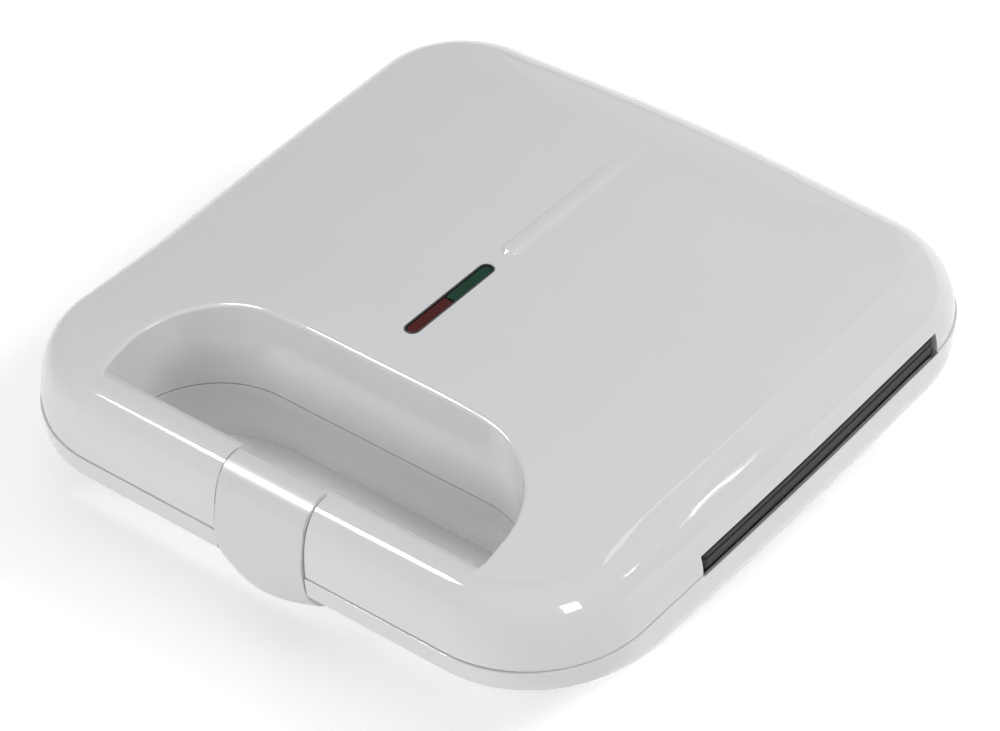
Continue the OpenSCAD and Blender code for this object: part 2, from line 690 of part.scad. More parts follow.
// --- Hinge -------------------------------------------------------------------
module base_hinge(s) {
    block_top = seam_z - 0.4;
    block_low = hinge_z - knuckle_r - 1.2;
    front_face = hinge_y - knuckle_r - fit;
    translate([s * hinge_x, 0, 0]) difference() {
        union() {
            translate([-hinge_bay / 2 + fit, bracket_y, block_low])
                cube([hinge_bay - 2 * fit, front_face - bracket_y, block_top - block_low]);
            for (m = [0, 1]) mirror([m, 0, 0]) translate([knuckle_w / 2 + ear_gap, 0, 0]) {
                ear_w = hinge_bay / 2 - fit - knuckle_w / 2 - ear_gap;
                translate([0, hinge_y, hinge_z]) rotate([0, 90, 0]) cylinder(h = ear_w, r = knuckle_r);
                translate([0, front_face - 1, hinge_z - knuckle_r])
                    cube([ear_w, hinge_y - front_face + 1, 2 * knuckle_r]);
            }
        }
        translate([-hinge_bay, hinge_y, hinge_z]) rotate([0, 90, 0]) cylinder(h = 2 * hinge_bay, r = hinge_pin_r);
        translate([0, bracket_screw_y, 0]) cylinder(h = seam_z, r = screw_r + 0.1);
        translate([0, bracket_screw_y, block_top - 2]) cylinder(h = 4, r = head_r + 0.2);
    }
}
module base_hinge_left() color("gainsboro") base_hinge(-1);
module base_hinge_right() color("gainsboro") base_hinge(1);
module hinge_pins() color("silver")
    for (s = [-1, 1]) translate([s * hinge_x - hinge_bay / 2 + fit, hinge_y, hinge_z]) rotate([0, 90, 0])
        cylinder(h = hinge_bay - 2 * fit, r = hinge_pin_r);
module base_hinge_screws() color("silver")
    for (p = hinge_bosses) pan_screw(p.x, p.y, seam_z - 0.5, 12, -1);
module lid_hinge(s) {
    deck_top = lid_z + 2 + deck_t + seat;
    tongue = half_d - 24;
    back = half_d - back_bulge - 0.2;
    translate([s * hinge_x, 0, 0]) difference() {
        translate([-knuckle_w / 2, 0, 0]) rotate([90, 0, 90]) linear_extrude(knuckle_w) difference() {
            union() {
                translate([hinge_y, hinge_z]) circle(knuckle_r);
                polygon([[hinge_y - knuckle_r, hinge_z], [hinge_y + knuckle_r - 1.6, hinge_z],
                    [back + 1.5, lid_z + 0.4], [back - 0.6, lid_z + 3.2], [back - 4, deck_top],
                    [back - 4, deck_top + 3], [tongue, deck_top + 3], [tongue, deck_top],
                    [half_d - 9.5, deck_top], [half_d - 8, lid_z + 0.6], [hinge_y - knuckle_r, lid_z + 0.4]]);
            }
            translate([hinge_y, hinge_z]) circle(hinge_pin_r + run_gap);
        }
        translate([0, arm_screw_y, 0]) cylinder(h = crease_z, r = screw_r + 0.1);
    }
}
module lid_hinge_left() color("gainsboro") lid_hinge(-1);
module lid_hinge_right() color("gainsboro") lid_hinge(1);

// --- Cord inlet --------------------------------------------------------------
module cord_bush() color([0.16, 0.16, 0.17]) {
    translate([0, bush_y, bush_z]) rotate([90, 0, 0]) difference() {
        union() {
            cylinder(h = bush_flange, r = bush_r + bush_rim);
            cylinder(h = bush_l, r = bush_r);
        }
        translate([0, 0, -1]) cylinder(h = bush_l + 2, r = cord_r);
    }
}
module cord_clamp() color("whitesmoke") {
    difference() {
        translate([-13, clamp_y - 3.5, clamp_low]) cube([26, 7, bush_z + cord_r + 3 - clamp_low]);
        translate([0, clamp_y - 5, bush_z]) rotate([-90, 0, 0]) cylinder(h = 10, r = cord_r);
        translate([-cord_r, clamp_y - 5, clamp_low - 1]) cube([2 * cord_r, 10, bush_z - clamp_low + 1]);
        for (s = [-1, 1]) translate([s * 9, clamp_y, 0]) cylinder(h = 60, r = screw_r + 0.1);
    }
}
module cord_clamp_screws() color("silver")
    for (s = [-1, 1]) pan_screw(s * 9, clamp_y, bush_z + cord_r + 3 + 1.8, bush_z + cord_r - floor_z, -1);
module terminal_block() color("ivory") {
    difference() {
        translate([-14, block_y, floor_z + seat]) cube([28, 12, 12]);
        for (x = [-9, 0, 9]) {
            translate([x, block_y - 1, floor_z + 5]) rotate([-90, 0, 0]) cylinder(h = 14, r = 1.6);
            translate([x, block_y + 6, floor_z + 6]) cylinder(h = 10, r = 2);
        }
    }
}
module thermal_fuse() color("silver") {
    translate([0, plate_y - 6, lower_top - lower_rim - 0.3 - 2]) rotate([-90, 0, 0]) {
        cylinder(h = 12, r = 2);
        translate([0, 0, -8]) cylinder(h = 28, r = 0.5);
    }
}
module foot(p) color([0.75, 0.75, 0.74]) {
    difference() {
        translate([p.x, p.y, 0]) rotate_extrude() polygon(concat([[0, 0], [foot_r - 2, 0]],
            [for (a = [-60:15:0]) [foot_r - 2 + 2 * cos(a), 2 + 2 * sin(a)]],
            [[foot_r, base_z - seat], [0, base_z - seat]]));
        translate([p.x, p.y, -1]) cylinder(h = 4, r = head_r + 0.2);
        translate([p.x, p.y, -1]) cylinder(h = 20, r = screw_r + 0.1);
    }
}
module foot_front_left() foot(foot_places[0]);
module foot_front_right() foot(foot_places[1]);
module foot_rear_left() foot(foot_places[2]);
module foot_rear_right() foot(foot_places[3]);
module foot_screws() color("silver")
    for (p = foot_places) pan_screw(p.x, p.y, 1, base_z + wall - 1.8, 1);

// --- Lid electrics -----------------------------------------------------------
module thermostat() color([0.2, 0.2, 0.2]) {
    translate([0, plate_y, upper_bowl + seat]) {
        cylinder(h = 3.6, r = thermostat_r);
        translate([0, 0, 3.5]) cylinder(h = 1.6, r = thermostat_r - 2);
        for (s = [-1, 1]) translate([s * 5 - 1.5, thermostat_r - 3, 2]) cube([3, 8, tab_t]);
    }
}
module lens(front) {
    y0 = front ? -lens_front - 10 : lens_mid + 0.1;
    y1 = front ? lens_mid - 0.1 : -lens_front + lens_l + 10;
    intersection() {
        union() {
            translate([0, 0, lens_seat - 2]) linear_extrude(1.6) offset_plan(lens_flange);
            difference() {
                translate([0, 0, lens_seat - 2]) linear_extrude(8) offset_plan(-fit / 4);
                translate([0, lens_mid, core_z(lens_mid) - 0.35]) rotate([atan(core_slope), 0, 0])
                    translate([-20, -40, 0]) cube([40, 80, 10]);
            }
        }
        translate([-20, y0, 0]) cube([40, y1 - y0, 100]);
    }
}
module offset_plan(g) {
    r = lens_w / 2 + g;
    for (y = [-lens_front + lens_w / 2, -lens_front + lens_l - lens_w / 2]) translate([0, y]) circle(r);
    translate([-r, -lens_front + lens_w / 2]) square([2 * r, lens_l - lens_w]);
}
module red_lens() color([0.55, 0.08, 0.06]) lens(true);
module green_lens() color([0.03, 0.35, 0.22]) lens(false);
module lamp_holder() color([0.15, 0.15, 0.15]) {
    difference() {
        translate([-6, -lens_front - 2, holder_low]) cube([12, lens_l + 4, holder_top - holder_low]);
        for (y = [lens_mid - lens_l / 4, lens_mid + lens_l / 4])
            translate([-lamp_x, y - lamp_l / 2 - 0.3, lamp_z - lamp_r - 0.3])
                cube([2 * lamp_x, lamp_l + 0.6, 20]);
    }
}
module lamp(y) {
    translate([0, y - lamp_l / 2, lamp_z]) rotate([-90, 0, 0]) {
        cylinder(h = lamp_l - lamp_r, r = lamp_r);
        translate([0, 0, lamp_l - lamp_r]) sphere(lamp_r);
    }
}
module red_lamp() color([0.9, 0.45, 0.3]) lamp(lens_mid - lens_l / 4);
module green_lamp() color([0.6, 0.85, 0.6]) lamp(lens_mid + lens_l / 4);

// --- Latch -------------------------------------------------------------------
module latch_saddle() color("gainsboro") {
    rear = handle_mid + handle_d / 2 - 1.2;
    front = -half_d + latch_t - 0.8 + fit;
    shoulder = pivot_z - 6;
    translate([-saddle_w / 2, 0, 0]) rotate([90, 0, 90]) linear_extrude(saddle_w) difference() {
        union() {
            translate([handle_mid, pivot_z]) circle(saddle_r);
            polygon([[front, lid_z + seat], [rear, lid_z + seat], [rear, shoulder],
                [handle_mid + saddle_r * cos(40), pivot_z + saddle_r * sin(40)],
                [handle_mid - saddle_r, pivot_z], [front + 0.3, lid_z + 7]]);
        }
        translate([handle_mid, pivot_z]) circle(latch_pin_r);
    }
}
module latch_pin() color("silver")
    translate([-latch_w / 2, handle_mid, pivot_z]) rotate([0, 90, 0])
        cylinder(h = latch_w, r = latch_pin_r);
// The clip in side view: an arc over the handle, a front wall and a lip that curls
// under the handle. bulge is 0 at the ends of the clip and 1 in the middle.
function clip_arc(r, a0, a1) = [for (i = [0:12]) let (a = mix(a0, a1, i / 12))
    [handle_mid + r * cos(a), pivot_z + r * sin(a)]];
// Rows give the step back from the foremost point and the step down from the parting
// line, at the ends and in the middle, and the way to the inner face.
lip_rows = [
    [1.7, -6, 1.7, -6, 1, 0], [1.6, -0.6, 1.2, -0.6, 1, 0.02], [2.1, 5, 0.3, 5, 0.99, 0.12],
    [3.7, 10.2, 0, 9.5, 0.9, 0.42], [5.9, 13.7, 1, 13.8, 0.74, 0.67], [8.4, 16.8, 4.4, 17.6, 0.45, 0.9],
    [10.6, 18.4, 9.8, 18.8, 0.25, 0.97]];
lip_t = 2.5;
function lip_front_at(k, bulge) = let (q = lip_rows[k])
    [-hinge_y - knuckle_r + mix(q[0], q[2], bulge), seam_z - mix(q[1], q[3], bulge)];
function clip_side(bulge) = concat(
    clip_arc(latch_r, 80, 172),
    [for (k = [0:6]) lip_front_at(k, bulge)],
    [lip_front_at(6, bulge) + [0.9, 0.5], lip_front_at(6, bulge) + [1.2, 1.3]],
    [for (k = [6:-1:0]) lip_front_at(k, bulge) + [lip_rows[k][4], lip_rows[k][5]] * mix(latch_t, lip_t, k / 6)],
    clip_arc(latch_r - latch_t, 172, 80));
module latch_clip() color([0.82, 0.81, 0.79]) {
    for (m = [0, 1]) mirror([m, 0, 0]) translate([latch_w / 2 - latch_ear, 0, 0])
        rotate([90, 0, 90]) linear_extrude(latch_ear) difference() {
            union() {
                translate([handle_mid, pivot_z]) circle(saddle_r);
                polygon(concat([[handle_mid, pivot_z]], clip_arc(latch_r - latch_t / 2, 82, 170)));
            }
            translate([handle_mid, pivot_z]) circle(latch_pin_r + run_gap);
        }
    skin([for (i = [0:clip_steps]) let (q = 2 * i / clip_steps - 1, x = sin(90 * q))
        [for (p = clip_side(1 - x * x)) [x * latch_w / 2, p.x, p.y]]]);
}

// --- Leads -------------------------------------------------------------------
// A wire of radius r along a list of points.
module wire(p, r) {
    for (i = [0:len(p) - 2]) hull() for (k = [i, i + 1]) translate(p[k]) sphere(r, $fn = 10);
}
module base_leads() color("ivory") {
    for (s = [-1, 1]) wire([[s * 9, block_y - lead_r - seat, floor_z + 5], [s * 9, block_y - 6, floor_z + 3],
        [s * 14, block_y - 9 - 2 * s, floor_z + 2], [tray_x + 3 + 4 * s, block_y - 9 - 2 * s, floor_z + 4],
        [rod_end + 9 + 2 * s, plate_y + s * rod_bend + 6, rod_z_low],
        [rod_end + 5, plate_y + s * rod_bend, rod_z_low]], lead_r);
}
module lid_leads() color("ivory") {
    over = tray_up + tray_t + 2.4;
    tray_back = plate_y + tray_y;
    for (s = [-1, 1]) wire([[s * 2, lead_y, lid_z + 2.5], [s * 3, lead_y - 3, lid_z + 9],
        [s * 5, tray_back + 20, lid_z + 17], [s * 5, tray_back + 8, over - 3], [s * 5, tray_back + 2, over],
        [s * 5, lead_down + 2, over], [s * 5, lead_down, over - 2],
        [s * 5, lead_down, upper_bowl + 2 + tab_t + 2 * seat + lead_r]], lead_r);
}

lower_housing();
base_front_deck();
base_rear_deck();
lower_plate();
lower_heater();
lower_reflector();
lower_heater_clamps();
lower_plate_screws();
base_deck_screws();
base_hinge_left();
base_hinge_right();
base_hinge_screws();
hinge_pins();
cord_bush();
cord_clamp();
cord_clamp_screws();
terminal_block();
thermal_fuse();
base_leads();
foot_front_left();
foot_front_right();
foot_rear_left();
foot_rear_right();
foot_screws();
upper_housing();
lid_front_deck();
lid_rear_deck();
upper_plate();
upper_heater();
upper_reflector();
upper_heater_clamps();
upper_plate_screws();
lid_deck_screws();
lid_hinge_left();
lid_hinge_right();
thermostat();
lamp_holder();
red_lamp();
green_lamp();
red_lens();
green_lens();
lid_leads();
latch_saddle();
latch_pin();
latch_clip();
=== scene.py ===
# %% [markdown]
# # A sandwich toaster, dressed for the camera
# The measured model comes first and never changes. Everything after it is looks: smooth
# skins over the faceted housings, moulded plates, and finishes for every small part.

# %% Load the frame
import math

import bmesh
import bpy
from mathutils import Matrix, Vector
from mathutils.bvhtree import BVHTree


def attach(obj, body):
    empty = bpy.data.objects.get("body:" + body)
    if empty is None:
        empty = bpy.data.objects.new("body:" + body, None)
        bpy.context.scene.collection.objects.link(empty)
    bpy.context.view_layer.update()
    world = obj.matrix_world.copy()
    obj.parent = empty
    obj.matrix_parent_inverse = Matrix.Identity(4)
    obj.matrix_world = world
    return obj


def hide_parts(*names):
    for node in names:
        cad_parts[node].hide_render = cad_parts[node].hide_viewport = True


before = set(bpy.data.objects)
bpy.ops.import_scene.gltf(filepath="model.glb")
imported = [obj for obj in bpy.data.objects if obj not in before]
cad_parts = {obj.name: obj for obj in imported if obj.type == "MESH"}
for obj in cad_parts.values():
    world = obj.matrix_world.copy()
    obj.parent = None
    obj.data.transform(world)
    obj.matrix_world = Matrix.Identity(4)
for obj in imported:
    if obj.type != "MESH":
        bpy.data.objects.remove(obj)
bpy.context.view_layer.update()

# %% [markdown]
# The camera is a fact about the photograph, so it is placed first. A long lens far away keeps
# the sides almost parallel, as product pictures do. The three axes of the camera are built from
# an azimuth, an elevation and a small roll.

# %% Camera
MM = 0.001
AZIMUTH, ELEVATION, ROLL = 40.604, 41.503, -3.274
DISTANCE, SHIFT_RIGHT, SHIFT_UP = 1450.57, -3.744, 20.547
LENS = 160.53
AIM = Vector((0, 2.85, 0))


def camera_axes(azimuth, elevation, roll):
    a, e, r = (math.radians(v) for v in (azimuth, elevation, roll))
    back = Vector((math.sin(a) * math.cos(e), -math.cos(a) * math.cos(e), math.sin(e)))
    right = Vector((math.cos(a), math.sin(a), 0))
    up = back.cross(right)
    turned_right = right * math.cos(r) + up * math.sin(r)
    turned_up = up * math.cos(r) - right * math.sin(r)
    return turned_right, turned_up, back


right, up, back = camera_axes(AZIMUTH, ELEVATION, ROLL)
camera = bpy.data.objects.new("camera", bpy.data.cameras.new("camera"))
bpy.context.scene.collection.objects.link(camera)
camera.data.lens = LENS
camera.data.sensor_width = 36
camera.data.clip_start = 0.05
camera.data.clip_end = 20
place = (AIM + right * SHIFT_RIGHT + up * SHIFT_UP + back * DISTANCE) * MM
camera.matrix_world = Matrix.Translation(place) @ Matrix((right, up, back)).transposed().to_4x4()
bpy.context.scene.camera = camera
print("camera at", [round(v, 3) for v in place])

# %% [markdown]
# Light for glossy white plastic is mostly large soft panels: the plastic shows them as smooth
# gradients, and only the rounded edges gather them into narrow streaks. Here the two jobs are
# split: three panels only shine, and four small lamps are only seen as highlights in the gloss,
# placed where the picture has its bright strips. The world fills the shadows. To a
# camera ray it is plain white, like paper.

# %% Lights and world
def area_light(name, location, target, size, power, mirrored=False):
    """A soft panel that only shines, or with mirrored a strip that is only seen as a highlight."""
    data = bpy.data.lights.new(name, "AREA")
    data.shape = "RECTANGLE"
    data.size, data.size_y = size
    data.energy = power
    lamp = bpy.data.objects.new(name, data)
    bpy.context.scene.collection.objects.link(lamp)
    lamp.location = location
    lamp.rotation_euler = (Vector(target) - Vector(location)).to_track_quat("-Z", "Y").to_euler()
    lamp.visible_glossy = mirrored
    lamp.visible_diffuse = not mirrored
    return lamp


area_light("key_panel", (0.9, 0.6, 1.0), (0, 0, 0.03), (0.5, 0.5), 7.4)
area_light("overhead_panel", (0.1, 0.0, 1.6), (0, 0, 0), (1.3, 1.3), 2.6)
area_light("front_panel", (-0.25, -1.7, 0.7), (0, -0.06, 0.04), (1.3, 0.8), 11.5)
area_light("window_strip", (-0.47, -0.43, 0.87), (0, -0.111, 0.06), (0.16, 0.3), 10.0, True)
area_light("crease_strip", (0.233, 0.80, 1.20), (0.1, 0, 0.06), (0.22, 0.22), 0.35, True)
area_light("shoulder_strip", (0.90, 0.60, 0.46), (0.111, -0.045, 0.056), (0.008, 0.1), 0.09, True)
area_light("corner_glint", (0.93, -0.33, 0.55), (0.102, -0.094, 0.056), (0.26, 0.34), 4.0, True)


def seen_directly(tree):
    """1 where a camera, mirror or see-through ray arrives, 0 for light that shines on things."""
    rays = tree.nodes.new("ShaderNodeLightPath")
    total = rays.outputs["Is Camera Ray"]
    for kind in ("Is Glossy Ray", "Is Transmission Ray"):
        add = tree.nodes.new("ShaderNodeMath")
        add.operation = "ADD"
        add.use_clamp = True
        tree.links.new(total, add.inputs[0])
        tree.links.new(rays.outputs[kind], add.inputs[1])
        total = add.outputs[0]
    return total


world = bpy.data.worlds.new("studio")
bpy.context.scene.world = world
world.use_nodes = True
nodes, links = world.node_tree.nodes, world.node_tree.links
nodes.clear()
out = nodes.new("ShaderNodeOutputWorld")
room = nodes.new("ShaderNodeBackground")
room.inputs["Color"].default_value = (0.96, 0.97, 1, 1)
room.inputs["Strength"].default_value = 0.33
paper = nodes.new("ShaderNodeBackground")
paper.inputs["Color"].default_value = (1, 1, 1, 1)
paper.inputs["Strength"].default_value = 1
pick = nodes.new("ShaderNodeMixShader")
links.new(seen_directly(world.node_tree), pick.inputs["Fac"])
links.new(room.outputs[0], pick.inputs[1])
links.new(paper.outputs[0], pick.inputs[2])
links.new(pick.outputs[0], out.inputs["Surface"])
scene = bpy.context.scene
scene.view_settings.view_transform = "Standard"

# %% [markdown]
# The floor is a sheet of white paper with two faces. Light that shines on things meets plain
# paper. Seen directly it is a matt white of more than 1, so the lit floor comes out white while
# the shadow stays, and no more light goes up to the toaster.

# %% Floor
def build_floor():
    bm = bmesh.new()
    bmesh.ops.create_grid(bm, x_segments=1, y_segments=1, size=4)
    mesh = bpy.data.meshes.new("floor")
    bm.to_mesh(mesh)
    bm.free()
    floor = bpy.data.objects.new("floor", mesh)
    bpy.context.scene.collection.objects.link(floor)
    paper = bpy.data.materials.new("paper_floor")
    paper.use_nodes = True
    tree = paper.node_tree
    shader = tree.nodes["Principled BSDF"]
    shader.inputs["Base Color"].default_value = (0.93, 0.93, 0.93, 1)
    shader.inputs["Roughness"].default_value = 0.9
    shader.inputs["Specular IOR Level"].default_value = 0.1
    matt = tree.nodes.new("ShaderNodeBsdfDiffuse")
    matt.inputs["Color"].default_value = (1.6, 1.6, 1.59, 1)
    glow = tree.nodes.new("ShaderNodeEmission")
    glow.inputs["Strength"].default_value = 0.02
    add = tree.nodes.new("ShaderNodeAddShader")
    mix = tree.nodes.new("ShaderNodeMixShader")
    tree.links.new(matt.outputs[0], add.inputs[0])
    tree.links.new(glow.outputs[0], add.inputs[1])
    tree.links.new(seen_directly(tree), mix.inputs["Fac"])
    tree.links.new(shader.outputs[0], mix.inputs[1])
    tree.links.new(add.outputs[0], mix.inputs[2])
    tree.links.new(mix.outputs[0], tree.nodes["Material Output"].inputs["Surface"])
    mesh.materials.append(paper)
    return floor


build_floor()

# %% [markdown]
# Moulded plastic is never perfectly even. Two noises in the object's own space are enough: a
# broad one that moves the colour by a hair, and a fine one that moves the gloss and gives the surface
# the faint orange peel of a mould.

# %% A helper for finishes
def finish_material(name, colour, roughness, spread=0.02, gloss_spread=0.05, grain=900, bump=0.03,
                    metallic=0.0, coat=0.0, mirror=0.5, streak=None):
    """A principled finish whose colour, roughness and relief vary in Object coordinates."""
    m = bpy.data.materials.new(name)
    m.use_nodes = True
    t = m.node_tree
    shader = t.nodes["Principled BSDF"]
    shader.inputs["Metallic"].default_value = metallic
    shader.inputs["Specular IOR Level"].default_value = mirror
    shader.inputs["Coat Weight"].default_value = coat
    where = t.nodes.new("ShaderNodeTexCoord")
    map_node = t.nodes.new("ShaderNodeMapping")
    map_node.inputs["Scale"].default_value = streak or (1, 1, 1)
    t.links.new(where.outputs["Object"], map_node.inputs["Vector"])
    broad = t.nodes.new("ShaderNodeTexNoise")
    broad.inputs["Scale"].default_value = 22
    broad.inputs["Detail"].default_value = 3
    fine = t.nodes.new("ShaderNodeTexNoise")
    fine.inputs["Scale"].default_value = grain
    fine.inputs["Detail"].default_value = 2
    for n in (broad, fine):
        t.links.new(map_node.outputs["Vector"], n.inputs["Vector"])
    tint = t.nodes.new("ShaderNodeValToRGB")
    tint.color_ramp.elements[0].position = 0.3
    tint.color_ramp.elements[1].position = 0.7
    for i, k in enumerate((1 - spread, 1 + spread)):
        tint.color_ramp.elements[i].color = (*[min(1, c * k) for c in colour], 1)
    t.links.new(broad.outputs["Fac"], tint.inputs["Fac"])
    t.links.new(tint.outputs["Color"], shader.inputs["Base Color"])
    sheen = t.nodes.new("ShaderNodeMapRange")
    sheen.inputs["To Min"].default_value = max(0, roughness - gloss_spread)
    sheen.inputs["To Max"].default_value = roughness + gloss_spread
    t.links.new(fine.outputs["Fac"], sheen.inputs["Value"])
    t.links.new(sheen.outputs["Result"], shader.inputs["Roughness"])
    relief = t.nodes.new("ShaderNodeBump")
    relief.inputs["Strength"].default_value = bump
    relief.inputs["Distance"].default_value = 0.0003
    t.links.new(fine.outputs["Fac"], relief.inputs["Height"])
    t.links.new(relief.outputs["Normal"], shader.inputs["Normal"])
    return m


WHITE_GLOSS = finish_material("white_gloss", (0.775, 0.772, 0.778), 0.09, 0.008, 0.02, 60, 0.012,
                              coat=0.25)
WHITE_LATCH = finish_material("white_latch", (0.74, 0.735, 0.725), 0.3, 0.01, 0.03, 700, 0.03)
WHITE_DECK = finish_material("white_deck", (0.70, 0.70, 0.70), 0.42, 0.015, 0.05, 900, 0.06)
COATING = finish_material("plate_coating", (0.02, 0.02, 0.021), 0.42, 0.2, 0.08, 1400, 0.25,
                          mirror=0.22)
STEEL = finish_material("sheet_steel", (0.62, 0.62, 0.63), 0.3, 0.04, 0.08, 300, 0.06, 1,
                        streak=(1, 12, 1))
ZINC = finish_material("zinc_plate", (0.58, 0.58, 0.6), 0.34, 0.05, 0.08, 800, 0.05, 1)
SHEATH = finish_material("heater_sheath", (0.2, 0.17, 0.15), 0.48, 0.25, 0.1, 500, 0.15, 0.9)
BLACK = finish_material("black_moulding_and_gap_shade", (0.03, 0.03, 0.032), 0.45, 0.1, 0.06, 900, 0.08)
RUBBER = finish_material("bush_rubber", (0.03, 0.03, 0.03), 0.65, 0.1, 0.06, 1200, 0.12)
FOOT = finish_material("foot_rubber", (0.5, 0.5, 0.49), 0.6, 0.04, 0.06, 1200, 0.12)
CERAMIC = finish_material("terminal_ceramic", (0.74, 0.7, 0.6), 0.35, 0.03, 0.05, 700, 0.06)
SLEEVE = finish_material("lead_sleeve", (0.68, 0.63, 0.5), 0.6, 0.06, 0.06, 2400, 0.3)
CLAMP = finish_material("clamp_plastic", (0.66, 0.66, 0.64), 0.4, 0.02, 0.05, 900, 0.06)
BULB = finish_material("lamp_glass", (0.7, 0.5, 0.4), 0.08, 0.1, 0.02, 300, 0.02)
RED = finish_material("window_red", (0.085, 0.004, 0.004), 0.2, 0.5, 0.03, 500, 0.04, mirror=0.12)
GREEN = finish_material("window_green", (0.001, 0.05, 0.024), 0.2, 0.5, 0.03, 500, 0.04,
                        mirror=0.12)

# %% [markdown]
# Pieces are made in millimetres, because that is how the drawing is, and scaled once when the
# mesh becomes an object. `loft` starts from a circle, drags its edge up from ring to ring and
# so gives even quads, which a glossy surface needs far more than a low count of faces.

# %% Mesh helpers
SHARP = math.radians(38)


def loft(rings, cap_first=True, cap_last=True):
    """A skin through rings of equal length, made by extruding the edge of a circle."""
    bm = bmesh.new()
    made = bmesh.ops.create_circle(bm, segments=len(rings[0]), radius=1)["verts"]
    line = list(made)
    for v, p in zip(line, rings[0]):
        v.co = p
    first = [bm.edges.get((line[i - 1], line[i])) for i in range(len(line))]
    edges = first
    for ring in rings[1:]:
        out = bmesh.ops.extrude_edge_only(bm, edges=edges)["geom"]
        new = {v for v in out if isinstance(v, bmesh.types.BMVert)}
        line = [next(e.other_vert(v) for e in v.link_edges if e.other_vert(v) in new) for v in line]
        for v, p in zip(line, ring):
            v.co = p
        edges = [bm.edges.get((line[i - 1], line[i])) for i in range(len(line))]
    for cap, ends in ((cap_first, first), (cap_last, edges)):
        if cap:
            bmesh.ops.contextual_create(bm, geom=ends)
    bmesh.ops.recalc_face_normals(bm, faces=bm.faces)
    return bm


def prism(points, z0, z1):
    return loft([[(x, y, z0) for x, y in points], [(x, y, z1) for x, y in points]])


def block(lo, hi, soft=0.0):
    """A box from corner to corner, with its edges rounded by soft."""
    bm = bmesh.new()
    bmesh.ops.create_cube(bm, size=1)
    size = Vector(hi) - Vector(lo)
    bmesh.ops.scale(bm, vec=size, verts=bm.verts)
    bmesh.ops.translate(bm, vec=(Vector(lo) + Vector(hi)) / 2, verts=bm.verts)
    if soft:
        bmesh.ops.bevel(bm, geom=bm.edges, offset=soft, segments=3, profile=0.5, affect="EDGES",
                        material=-1)
    return bm


def rod(p, q, r, r_end=None, segments=48):
    """A round bar, or a cone, from point p to point q."""
    bm = bmesh.new()
    p, q = Vector(p), Vector(q)
    bmesh.ops.create_cone(bm, cap_ends=True, segments=segments, radius1=r,
                          radius2=r if r_end is None else r_end, depth=(q - p).length)
    turn = Vector((0, 0, 1)).rotation_difference(q - p).to_matrix().to_4x4()
    bmesh.ops.transform(bm, matrix=Matrix.Translation((p + q) / 2) @ turn, verts=bm.verts)
    return bm


def join(parts):
    """Several loose shapes in one mesh."""
    bm = bmesh.new()
    for part in parts:
        scratch = bpy.data.meshes.new("scratch")
        part.to_mesh(scratch)
        bm.from_mesh(scratch)
        bpy.data.meshes.remove(scratch)
        part.free()
    return bm


def to_object(name, bm):
    """An object in metres from a mesh in millimetres."""
    bmesh.ops.scale(bm, vec=(MM, MM, MM), verts=bm.verts)
    mesh = bpy.data.meshes.new(name)
    bm.to_mesh(mesh)
    bm.free()
    obj = bpy.data.objects.new(name, mesh)
    bpy.context.scene.collection.objects.link(obj)
    return obj


def carve(obj, cutter, operation="DIFFERENCE"):
    """Cuts cutter away from obj for good (or adds it), and throws the cutter away."""
    cut = obj.modifiers.new("cut", "BOOLEAN")
    cut.operation = operation
    cut.solver = "EXACT"
    cut.object = cutter
    bpy.context.view_layer.update()
    solid = obj.evaluated_get(bpy.context.evaluated_depsgraph_get())
    mesh = bpy.data.meshes.new_from_object(solid)
    obj.modifiers.clear()
    old, obj.data = obj.data, mesh
    bpy.data.meshes.remove(old)
    bpy.data.objects.remove(cutter)
    mesh.name = obj.name
    return obj


def absorb(obj, other):
    """Puts another object's shell into obj as it is."""
    bm = bmesh.new()
    bm.from_mesh(obj.data)
    bm.from_mesh(other.data)
    bm.to_mesh(obj.data)
    bm.free()
    bpy.data.objects.remove(other)


def dress(obj, body, material, replaces=()):
    """Smooth shading with crisp edges, a finish, a body to ride and the nodes it stands for."""
    mesh = obj.data
    mesh.polygons.foreach_set("use_smooth", [True] * len(mesh.polygons))
    mesh.set_sharp_from_angle(angle=SHARP)
    weigh = obj.modifiers.new("weigh", "WEIGHTED_NORMAL")
    weigh.keep_sharp = True
    mesh.materials.clear()
    mesh.materials.append(material)
    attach(obj, body)
    if replaces:
        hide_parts(*replaces)
    print(obj.name, "faces:", len(mesh.polygons))
    return obj


# %% [markdown]
# Each sandwich has two triangular pockets. Their middles carry the studs that hold the heating
# rod, so the triangles are worked out early: holes in several pieces line up with them.

# %% Pocket triangles
PLATE_W, PLATE_D, PLATE_Y = 228.8, 124, 16
POCKET_SIDE, POCKET_IN, POCKET_MID = 11.4, 8, 4
P_X0, P_X1 = POCKET_MID, PLATE_W / 2 - POCKET_SIDE
P_Y0, P_Y1 = PLATE_Y - PLATE_D / 2 + POCKET_IN, PLATE_Y + PLATE_D / 2 - POCKET_IN
TRIANGLES = [[(P_X0, P_Y0), (P_X1, P_Y0), (P_X1, P_Y1)],
             [(P_X0, P_Y0), (P_X1, P_Y1), (P_X0, P_Y1)]]
STUDS = [(side * sum(p[0] for p in t) / 3, sum(p[1] for p in t) / 3)
         for side in (-1, 1) for t in TRIANGLES]
print("studs:", [(round(x, 1), round(y, 1)) for x, y in STUDS])

# %% [markdown]
# The plan of the toaster is a rounded rectangle whose sides swell a little. Every ring of the
# lid and the base is one such outline, so the same number of points runs up the whole wall.

# %% The plan outline
HALF_W, HALF_D = 115, 118
SEAM_Z, LID_Z, CREASE_Z = 38, 38.4, 62.4
WALL = 2.5
CORNER_FRONT, CORNER_REAR = 42, 38
SIDE_BULGE, BACK_BULGE = 0.7, 3
ARC_STEPS, RUN_STEPS = 16, 20


